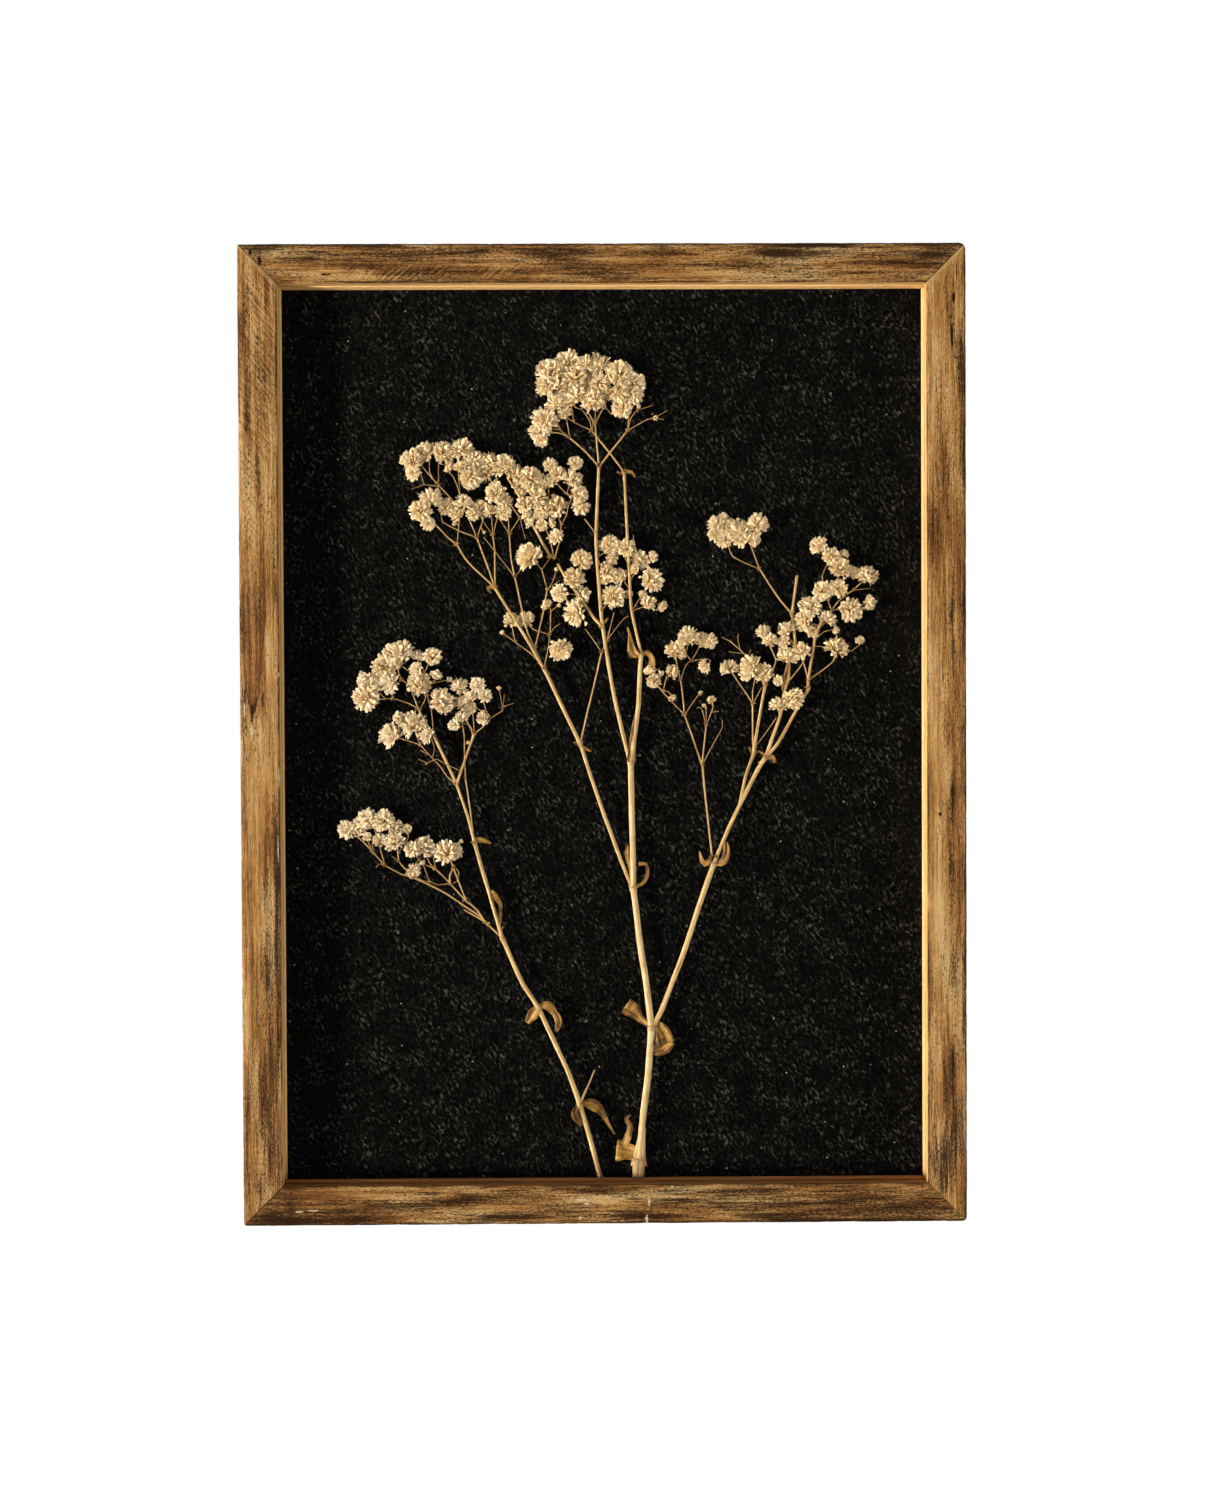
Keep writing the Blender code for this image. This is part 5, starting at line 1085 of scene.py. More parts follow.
LEFT_BRANCH = {
    "shoots": [
        ([(7.7, 93), (6, 96.5), (-6.5, 132.5)], 1.3, 1.2), ([(-6.5, 132.5), (-16.5, 153.5)], 1.3, 1.2),
        ([(-16.5, 153.5), (-30, 176)], 1, 0.9), ([(-16.5, 153.5), (-21, 163.5), (-24.5, 179)], 0.8, 0.7),
        ([(-6.5, 132.5), (-0.5, 158)], 0.8, 0.7), ([(-0.5, 158), (-5, 164.5)], 0.5, 0.4),
        ([(-0.5, 158), (1, 161.5), (3, 169)], 0.5, 0.4), ([(0.8, 161.1), (6, 167.5), (7, 168)], 0.4, 0.4),
        ([(-16.5, 153.5), (-15.5, 158.5), (-14.5, 170)], 0.5, 0.4),
        ([(-15, 163), (-19.5, 164.5), (-21, 166)], 0.4, 0.3),
        ([(-15, 163), (-13.5, 165), (-12, 166)], 0.4, 0.3), ([(-15.2, 162), (-13, 160)], 0.3, 0.3),
        ([(-19, 159), (-15.5, 175.5)], 0.7, 0.6), ([(-15.5, 175.5), (-17, 181), (-20, 184.5)], 0.5, 0.4),
        ([(-17, 181), (-14.5, 184.5)], 0.3, 0.3), ([(-15.5, 175.5), (-14, 177.5), (-13, 180.5)], 0.3, 0.4),
        ([(-15.5, 175.5), (-12, 178)], 0.4, 0.3), ([(-17.4, 155), (-20.5, 158), (-28, 163.5)], 0.6, 0.3),
        ([(-24.5, 161), (-25.5, 166)], 0.4, 0.4), ([(-30, 176), (-38, 184), (-40.5, 188)], 0.8, 0.7),
        ([(-30, 176), (-35, 190)], 0.8, 0.7), ([(-30, 176), (-30, 186.5), (-30.5, 190.5)], 0.7, 0.6),
        ([(-24.5, 179), (-33, 190)], 0.5, 0.3), ([(-24.5, 179), (-25.5, 184), (-26, 191)], 0.7, 0.6),
        ([(-24.5, 179), (-22, 182)], 0.4, 0.3), ([(-40.5, 188), (-43, 190), (-49, 196.5)], 0.7, 0.6),
        ([(-40.5, 188), (-39.5, 198)], 0.5, 0.4),
        ([(-35, 190), (-39, 191.5), (-44.5, 194.5), (-45, 197)], 0.5, 0.4),
        ([(-35, 190), (-38.5, 198)], 0.6, 0.5), ([(-35, 190), (-33, 195.5)], 0.5, 0.4),
        ([(-30.5, 190.5), (-33.5, 195)], 0.4, 0.4), ([(-30.5, 190.5), (-31, 197)], 0.4, 0.4),
        ([(-30.5, 190.5), (-29, 196.5)], 0.4, 0.4), ([(-26, 191), (-29, 195.5)], 0.4, 0.4),
        ([(-26, 191), (-27, 200.5), (-28.5, 202.5)], 0.5, 0.4), ([(-26, 191), (-23, 195.5)], 0.4, 0.4),
        ([(-23, 195.5), (-26.5, 200.5), (-27.5, 203)], 0.4, 0.4), ([(-23, 195.5), (-21.5, 189.5)], 0.3, 0.3),
        ([(-39.5, 198), (-46, 205)], 0.6, 0.5), ([(-46, 205), (-51, 211)], 0.5, 0.4),
        ([(-45.3, 204.2), (-49.5, 204.5), (-53, 203.5)], 0.4, 0.3),
        ([(-49.5, 204.5), (-50.5, 208)], 0.4, 0.4), ([(-45.5, 204.5), (-45.5, 210.5)], 0.4, 0.3),
        ([(-47.1, 206.4), (-48, 208.5), (-48, 211)], 0.3, 0.3),
        ([(-39.5, 200.5), (-40, 203.5), (-41.5, 207), (-43, 208.5)], 0.5, 0.4),
        ([(-39.5, 200.5), (-40, 208)], 0.5, 0.4),
        ([(-31, 197), (-31, 201.5), (-31, 206), (-31.5, 207.5)], 0.4, 0.4),
        ([(-14.5, 184.5), (-18.5, 191.5), (-21, 196), (-22.5, 200.5), (-26, 206)], 0.9, 0.7),
        ([(-13.5, 184), (-14.5, 189), (-16.5, 194.5), (-17, 198)], 0.5, 0.4),
        ([(-13.5, 184), (-12, 189), (-11.5, 193.5)], 0.6, 0.5), ([(-11.5, 193.5), (-13, 197.5)], 0.4, 0.4),
        ([(-11.5, 193.5), (-10, 196), (-9.5, 198.5), (-8.5, 201)], 0.4, 0.4),
        ([(-21, 196), (-19, 201.5)], 0.4, 0.4), ([(-17, 198), (-15, 201), (-15, 203.5)], 0.4, 0.4),
        ([(-8.5, 201), (-10, 202), (-15, 207.5)], 0.4, 0.4), ([(-26, 206), (-27.5, 209)], 0.5, 0.4),
    ],
    "heads": [
        (-20.5, 184.5, 7.5, -18.5, 183), (-15.5, 171, 3.5, -14.5, 170), (-12.5, 171, 1.5, -14.5, 169.5),
        (-25.5, 167, 4.5, -25, 163.5), (-21.5, 167, 5, -19.5, 164.5), (-12, 159, 6.5, -14, 161),
        (-28, 163.5, 1.5, -27.4, 163.1), (-13, 181, 1.5, -13.5, 179), (-53, 211.5, 6, -51, 211),
        (-52.5, 208, 4.5, -50.5, 208), (-49, 213.5, 6.5, -48, 211), (-44, 213.5, 6.5, -45.5, 210.5),
        (-43, 210, 3.5, -45.5, 210.5), (-39, 214.5, 6.5, -40, 208), (-39.5, 209.5, 4, -40, 208),
        (-35.5, 211, 7, -36.5, 206.5), (-36.5, 206.5, 6.5, -39.9, 206), (-32.5, 208, 5, -31.5, 207.5),
        (-31.5, 211, 5.5, -31.5, 207.5), (-27.5, 209.5, 7, -26.5, 207.5), (-24, 207.5, 5, -26, 206),
        (-29, 203, 6.5, -27.5, 203), (-27.5, 197, 4.5, -26.5, 197.5), (-20, 206.5, 6.5, -19, 201.5),
        (-22.5, 204, 5, -24.4, 203.5), (-16, 204.5, 6, -15, 203.5), (-18.5, 201.5, 6, -19, 201.5),
        (-21.5, 199, 5, -21, 196), (-13, 198.5, 6.5, -13, 197.5), (-17, 197, 4.5, -17, 198),
        (-20, 194, 3.5, -18.5, 191.5), (-17, 193.5, 3.5, -16.5, 194.5), (-14.5, 194, 3, -16.5, 194.5),
        (-13, 190, 4.5, -12, 189), (-30, 202, 5.5), (-27, 199.2, 5), (-21, 196, 3, -21, 196),
        (-47.5, 200.5, 6.5, -49, 196.5), (-50.5, 197.5, 6, -49, 196.5), (-43.5, 198.5, 5, -45, 197),
        (-48.5, 194, 4, -46.8, 194.2), (-38.5, 199.5, 5, -38.5, 198), (-40.5, 196.5, 4, -39.7, 195.5),
        (-34, 198, 5, -33.5, 195), (-36, 196.5, 4, -37.7, 196.1), (-31, 197, 4, -31, 197),
        (-41, 194, 1.5, -40, 193.5), (-33, 191.5, 1, -33.9, 193), (-14.5, 210, 4, -12.6, 204.9),
        (-12.5, 207.5, 4.5, -12.6, 204.9), (-7.5, 210.5, 4, -8.5, 206.5), (-8.5, 206, 5.5, -10, 202),
        (-6.5, 202, 5, -10, 202), (-6, 198.5, 5, -6.5, 202),
    ],
    "leaves": [
        [(-6.4, 132.2, 1.5), (-8.5, 133, 0.5)], [(-6.2, 131.7, 1.5), (-3.5, 130.5, 0.5)],
        [(-30.2, 176.2, 1), (-32, 176, 1), (-31, 174.5, 0.5)],
    ],
}

make_plant("left_branch", LEFT_BRANCH, 18, SPRAY_FINISHES)

# ---------------------------------------------------------------- centre stems
# Two thin upright stems: one ends in the topmost cloud of flowers, one passes through the right-hand one.
# They part at the fork on top of the main stem.

CENTRE_STEMS = {
    "shoots": [
        ([(7.5, 126.6), (3.5, 143), (-0.5, 167.5), (-2, 190.5), (-1, 209.5)], 1.4, 1),
        ([(-0.1, 165), (-2.5, 167.5), (-10, 178), (-12.5, 182.5)], 1.1, 0.8),
        ([(-2, 191), (-5, 195)], 0.5, 0.4), ([(-7, 174), (-11.5, 174.5)], 0.4, 0.4),
        ([(-4.6, 170.4), (-7.5, 169)], 0.5, 0.4), ([(-7, 174), (-6, 174.5)], 0.5, 0.4),
        ([(-8.8, 176.3), (-6, 183)], 0.4, 0.4), ([(-1.5, 183.5), (1, 180)], 0.5, 0.4),
        ([(-1.6, 184.5), (3, 187)], 0.4, 0.4), ([(-0.6, 169.5), (3, 173.5)], 0.5, 0.4),
        ([(7.5, 127), (9.5, 142), (10.5, 157.5)], 1.7, 1.4), ([(10.5, 157.5), (8, 169.5), (6, 208)], 1, 0.9),
        ([(8, 169.5), (13.5, 178)], 0.4, 0.4), ([(7.6, 178), (11, 183.5)], 0.4, 0.4),
        ([(8, 169.5), (14, 171.5)], 0.4, 0.4), ([(7.3, 182), (6, 184.5), (6.5, 187)], 0.4, 0.4),
        ([(7.7, 175), (5, 179)], 0.4, 0.4), ([(7.2, 184.5), (8.5, 188.5), (8.5, 190.5)], 0.3, 0.3),
        ([(-1, 209.5), (-5, 214), (-9, 217.5)], 0.8, 0.7), ([(-1, 209.5), (-2, 221.5)], 0.8, 0.7),
        ([(-1, 209.5), (7, 219.5)], 0.8, 0.7), ([(6, 208), (-3, 219.5)], 0.8, 0.7),
        ([(-3, 219.5), (-3.5, 222), (-5.5, 225), (-7.5, 226)], 0.4, 0.4),
        ([(-3, 219.5), (-8, 222), (-9.5, 223), (-10.5, 224.5)], 0.5, 0.4),
        ([(-3, 219.5), (-2.5, 221.5), (-3.5, 223.5)], 0.4, 0.3), ([(-2, 221.5), (-7, 229.5)], 0.6, 0.4),
        ([(-2, 221.5), (-2, 226.5)], 0.4, 0.4), ([(-2, 221.5), (2, 229.5)], 0.6, 0.4),
        ([(0.5, 226.5), (2.5, 224)], 0.3, 0.3), ([(-9, 217.5), (-10, 223)], 0.4, 0.4),
        ([(-9, 217.5), (-11.5, 219.5), (-12.5, 222), (-12.5, 225)], 0.5, 0.4),
        ([(-11.7, 219.9), (-14, 220), (-15.5, 221)], 0.4, 0.3),
        ([(-9.6, 218), (-12.5, 219), (-14.5, 219), (-17, 218)], 0.5, 0.4),
        ([(-8, 222), (-8.5, 226.5)], 0.4, 0.3), ([(7, 219.5), (7.5, 225)], 0.5, 0.4),
        ([(7, 219.5), (8, 223), (9.5, 225)], 0.5, 0.4), ([(9.5, 225), (14, 226.5)], 0.4, 0.3),
        ([(9.5, 225), (10, 226)], 0.4, 0.4), ([(7, 219.5), (12.5, 222.5), (14.5, 223)], 0.5, 0.4),
        ([(14.5, 223), (18, 225)], 0.3, 0.3), ([(14.4, 223), (17, 222.5)], 0.3, 0.3),
        ([(2.5, 224), (5.5, 225)], 0.3, 0.3), ([(-7, 229.5), (-7.5, 234.5)], 0.4, 0.4),
        ([(-7, 229.5), (-10, 230), (-13.5, 232.5)], 0.4, 0.4),
        ([(-7, 229.5), (-4.5, 231), (-1, 237)], 0.4, 0.4), ([(2, 229.5), (4, 230.5), (5.5, 233.5)], 0.4, 0.4),
        ([(-7.5, 234.5), (-9, 238)], 0.4, 0.3),
    ],
    "heads": [
        (-6, 183.5, 6, -6.9, 180.9), (-8, 178.5, 6, -8.5, 176.5), (-12, 174.5, 5, -9.5, 174.3),
        (-6, 174, 5, -7, 174), (-7.5, 169, 7.5, -6, 169.5), (2, 188, 5.5, 0.4, 185.6),
        (-0.5, 187.5, 3.5, -1.1, 184.8), (2.5, 184.5, 4, 0.4, 185.6), (1, 180, 6, -0.5, 182),
        (3, 173.5, 6.5, 1.1, 171.4), (10.5, 183.5, 5.5, 9.7, 181.4), (13.5, 184.5, 3.5, 11, 183.5),
        (9, 181, 3, 9, 180), (13.5, 178, 6.5, 10.9, 174), (11, 174, 2.5, 10.3, 173),
        (12.5, 171.5, 4.5, 11, 170.5), (16, 171, 3.5, 14, 171.5), (6.5, 187, 5, 6, 184.5),
        (5, 179, 4.5, 6.4, 176.9), (7, 174, 3, 7.8, 173), (-14.5, 236, 7.5, -13.5, 232.5),
        (-15.5, 232, 6, -12, 231.5), (-11.8, 232, 5.5), (-7, 229.4, 5.5), (-9.5, 238.5, 7, -8.5, 237),
        (-7.5, 234.5, 6.5, -7.3, 232), (-5, 238, 5, -2.7, 234.1), (-1, 237.5, 7, -1, 235.5),
        (2, 235.5, 5, -2.1, 235.1), (-3.5, 232, 6, -4.5, 231), (-10.5, 231, 6, -10, 230),
        (-0.5, 232.5, 5.5, -2.9, 233.7), (5, 235.5, 7, 5.3, 233.1), (4.5, 230.5, 6.5, 4, 230.5),
        (9, 232.5, 6, 5.5, 233.5), (9, 229, 5, 6.5, 230), (5.5, 226, 6, 7.5, 224.5),
        (-2.5, 227.5, 7, -2, 226.5), (-12.5, 227, 6.5, -12.5, 225), (-8.5, 228, 5.5, -7.5, 226),
        (-16, 222.5, 7, -15.5, 221), (-17.5, 219.5, 6, -15.5, 219.5), (-17, 217, 4, -17, 218),
        (-10.5, 224.5, 4, -10.5, 224.5), (1.5, 230, 4, 2, 229.5), (14.5, 223, 2, 13.4, 222.7),
        (10, 226, 1.5, 9.7, 225.4),
    ],
    "leaves": [
        [(7.6, 127.6, 2.5), (8, 132, 2), (8.5, 137.5, 1.5), (9, 141, 0.5)],
        [(9.9, 156.8, 1.2), (8.3, 157.9, 2.8), (7.6, 160.4, 1.7), (7.3, 163, 0.8), (6.7, 165, 0.4)],
        [(10.2, 157, 1), (12, 157.8, 1.6), (13.3, 156.6, 1.4),
         (13.6, 154.6, 2), (13.5, 153, 1), (15.6, 153.4, 0.3)],
        [(6, 207.5, 1), (4, 208, 0.5)], [(6, 208, 1), (8, 208, 1), (9, 206.5, 0.5)],
        [(-0.2, 166, 1), (1.5, 167.5, 0.5)],
    ],
}

make_plant("centre_stems", CENTRE_STEMS, 25, SPRAY_FINISHES)

# ---------------------------------------------------------------- right branch
# The branch that leans right from the lowest fork and spreads into the right-hand cloud of flowers.
# Its twigs fork again and again, and nearly each ends in one head.

RIGHT_BRANCH = {
    "shoots": [
        ([(13.3, 53.6), (15.5, 57.5), (21, 71.5), (30.5, 99)], 1.6, 1.7),
        ([(30.5, 99), (36, 111.5), (43, 125.5), (45, 128.5)], 1.2, 1.4),
        ([(31.2, 100.6), (37.5, 115), (39.5, 123.5), (41.5, 129)], 1, 1),
        ([(41.5, 129), (41.5, 143.5)], 0.8, 0.7), ([(41.5, 143.5), (35, 153.5)], 0.6, 0.6),
        ([(41.5, 143.5), (41.5, 147), (42.5, 151.5)], 0.5, 0.4), ([(41.5, 143.5), (44, 148)], 0.5, 0.4),
        ([(41.5, 129), (45, 148.5)], 1.1, 0.9), ([(45, 148.5), (40, 156.5), (35, 161), (33, 162)], 0.7, 0.3),
        ([(38.2, 158.1), (37.5, 161), (37.5, 163)], 0.3, 0.3), ([(38.9, 157.5), (35, 158)], 0.3, 0.3),
        ([(45, 148.5), (48, 155.5), (46, 160.5)], 0.7, 0.5), ([(40.1, 156.3), (41, 158.5)], 0.3, 0.3),
        ([(45, 128.5), (49, 140), (50, 146), (51.5, 151), (51.5, 155)], 1.2, 0.9),
        ([(41.9, 131.2), (48, 139.5)], 0.4, 0.4), ([(45, 128.5), (48, 132), (57, 147.5)], 1.1, 1),
        ([(57, 147.5), (57, 150)], 1, 0.9), ([(57, 150), (59, 162.5), (61, 167)], 0.9, 0.7),
        ([(57, 150), (56, 154), (53.5, 160)], 0.7, 0.6), ([(57, 150), (64, 155.5), (65, 158)], 0.6, 0.5),
        ([(50.9, 149), (55.5, 155), (56, 157)], 0.6, 0.5),
        ([(59.6, 163.9), (65.5, 172), (69.5, 175)], 0.6, 0.5), ([(69.5, 175), (73.5, 178.5)], 0.5, 0.4),
        ([(69.5, 175), (74.5, 175.5)], 0.3, 0.3), ([(63.6, 169.4), (61.5, 174.5)], 0.5, 0.4),
        ([(63.6, 169.5), (69, 170)], 0.4, 0.4), ([(62.5, 172), (65.5, 176.5), (65.5, 180.5)], 0.4, 0.4),
        ([(61.5, 174.5), (61, 179), (62.5, 182.5)], 0.4, 0.4), ([(62.5, 182.5), (60, 187)], 0.4, 0.3),
        ([(53.5, 160), (52.5, 168.5)], 0.9, 0.8), ([(52.5, 168.5), (54, 179)], 0.9, 0.8),
        ([(52.5, 168.5), (49.5, 172), (43.5, 181)], 0.8, 0.7), ([(43.5, 181), (40.5, 189)], 0.6, 0.5),
        ([(43.5, 181), (36, 184.5), (34, 189.5)], 0.5, 0.4),
        ([(53.5, 160), (52, 161), (52.5, 161)], 0.7, 0.8), ([(58.5, 159.5), (65, 159)], 0.3, 0.3),
        ([(58.8, 161), (61.5, 163.5), (64, 164)], 0.3, 0.3), ([(65, 158), (69, 158), (71.5, 160)], 0.4, 0.3),
    ],
    "heads": [
        (35, 153.5, 5, 36.4, 151.4), (41, 154, 6, 42.7, 152.1), (39.5, 151.5, 3.5, 42.5, 151.5),
        (44.5, 152, 5.5, 45, 148.5), (48.5, 150, 3, 46.2, 151.3), (48.5, 143, 5, 49, 140),
        (53, 145, 6, 50, 146), (31.5, 193.5, 5, 35, 187), (33.5, 189.5, 5, 35, 187),
        (33.5, 195, 3.5, 34, 189.5), (38, 191.5, 7, 41, 187.7), (43, 193.5, 6, 41.4, 186.5),
        (34.2, 192.4, 5.5), (38.8, 189.4, 5), (41, 191.3, 5.5), (31.6, 190.6, 4.5), (41.5, 189.2, 4),
        (42.5, 189, 3, 41.4, 186.5), (60, 187.5, 5, 61.3, 184.7), (63.5, 184.5, 5, 62.5, 182.5),
        (67, 185, 3, 65.5, 180.5), (66, 181, 6, 65.5, 176.5), (69.5, 180, 4, 65.5, 179),
        (73.5, 179, 6, 71.9, 177.1), (61, 175, 5.5, 62.5, 172), (65.5, 175.5, 5, 64.1, 174.4),
        (69, 169.5, 6.5, 66.5, 169.8), (74, 171.5, 4, 69, 170), (57.5, 170.5, 6, 56, 166.5),
        (56, 166.5, 6, 60.1, 165), (62.5, 167, 5, 59.6, 163.9), (64.5, 164, 2.5, 61.5, 163.5),
        (65, 159, 6.5, 64, 155.5), (71.5, 161, 2.5, 71.5, 160), (44.5, 163.5, 4, 46.8, 158.4),
        (46.5, 161, 4.5, 46.8, 158.4), (51, 164, 5, 52, 161), (50.5, 160.5, 4.5, 53.8, 159.3),
        (51, 156.5, 6, 51.5, 152.5), (55, 158, 5, 55.5, 155), (58.5, 163.5, 3.5, 60.1, 165),
    ],
    "leaves": [
        [(30.6, 99.2, 1.5), (33, 99.5, 2), (34, 102.5, 2), (34, 105, 1)],
        [(45.2, 128.7, 1.5), (47, 128.5, 1.5), (47.5, 127, 1)], [(45.2, 128.9, 1), (43, 130.5, 0.5)],
        [(44.8, 128.2, 0.5), (43, 127, 0.5)], [(41.5, 129.5, 1), (40.5, 131.5, 0.5)],
        [(41.7, 130.1, 1), (43, 130, 1)], [(51.5, 154.5, 1), (51, 151, 2), (50, 147, 1)],
    ],
}

make_plant("right_branch", RIGHT_BRANCH, 32, SPRAY_FINISHES)

# ---------------------------------------------------------------- inner right branch
# A thin darker shoot between the tall stems and the right branch.
# It ends in a small cluster of heads.

INNER_RIGHT_BRANCH = {
    "shoots": [
        ([(30, 101.5), (27.5, 126)], 0.8, 0.9), ([(27.5, 126), (22.5, 140.5)], 0.7, 0.6),
        ([(27.3, 126.4), (28.5, 137.5)], 0.7, 0.6), ([(27.3, 126.4), (32, 135)], 0.5, 0.4),
        ([(32, 135), (33, 137), (33, 139)], 0.3, 0.3), ([(28.5, 137.5), (27, 142.5), (26, 142.5)], 0.4, 0.3),
        ([(28.5, 137.5), (30.5, 143), (30, 145)], 0.4, 0.4), ([(28.5, 137.5), (28.5, 143)], 0.3, 0.3),
        ([(29.9, 141.2), (32, 141.5)], 0.3, 0.3), ([(22.5, 140.5), (13, 151)], 0.6, 0.5),
        ([(16.6, 147.1), (18, 153.5)], 0.4, 0.4), ([(16.6, 147.1), (18, 147), (19, 146)], 0.3, 0.3),
        ([(14.4, 149.4), (16, 152)], 0.3, 0.3), ([(22.5, 140.5), (21.5, 150)], 0.6, 0.6),
        ([(22.5, 140.5), (27, 146.5), (27.5, 146.5)], 0.4, 0.4), ([(21.5, 150), (20, 157)], 0.5, 0.4),
        ([(21.5, 150), (22.5, 153.5), (23.5, 155), (24.5, 155.5)], 0.4, 0.4),
        ([(24.5, 155.5), (23, 157.5), (23.5, 160)], 0.4, 0.4),
        ([(24.5, 155.5), (29, 156), (30, 155.5)], 0.4, 0.3), ([(24.5, 155.5), (27, 160)], 0.4, 0.3),
    ],
    "heads": [
        (23.5, 162, 6, 23.2, 158.6), (27, 161, 5, 26.6, 159.2), (29.5, 161, 4.5, 26.7, 159.4),
        (20, 158, 6, 20.7, 153.6), (19, 152.5, 4, 17.3, 150.2), (28.5, 154, 4, 29.8, 155.6),
        (13, 152.5, 3.5, 14.5, 149.5), (14, 150, 4, 15.8, 147.9), (16, 152, 2, 15.4, 151.1),
        (19, 145.5, 2.5, 18, 147), (30, 144.5, 2.5, 30.4, 142.8), (28, 143, 1.5, 28.5, 142),
        (27, 146.5, 1.5, 27, 146),
    ],
    "leaves": [
        [(30, 101.5, 1), (28, 99, 1.5), (27, 100.5, 1), (26.5, 102.5, 0.5)],
    ],
}

make_plant("inner_right_branch", INNER_RIGHT_BRANCH, 39, SPRAY_FINISHES)

# ---------------------------------------------------------------- left sprig stem
# The stem of the second, smaller spray, at the left, with its narrow leaves.
# One of its shoots broke off and left a stub.

LEFT_SPRIG_STEM = {
    "shoots": [
        ([(-1.5, 11.5), (-7, 31.5)], 1.5, 1.5), ([(-7, 31.5), (-10.5, 41.5), (-18.5, 59)], 1.6, 1.5),
        ([(-18.5, 59), (-22.5, 65.5), (-28.5, 78.5)], 1.5, 1.4), ([(-7.2, 31.9), (-3, 41.5)], 0.9, 0.4),
    ],
    "heads": [],
    "leaves": [
        [(-18, 59.2, 1.4), (-20, 57.4, 3.4), (-21.6, 54.8, 1.6)],
        [(-18, 59.6, 1), (-16, 59.7, 2.6), (-14, 57.6, 2)],
        [(-14.4, 58.6, 1.4), (-12.9, 55, 2.2), (-13.6, 52.4, 0.7)],
        [(-7, 31.5, 1), (-8.5, 30, 2), (-7.5, 27.5, 2), (-6.5, 26, 1)],
        [(-7, 32.4, 1), (-3.6, 31.9, 3), (-1.3, 30.1, 2.4), (0.5, 27, 1), (2.6, 23.6, 0.5)],
    ],
}

make_plant("left_sprig_stem", LEFT_SPRIG_STEM, 46, SPRIG_FINISHES)
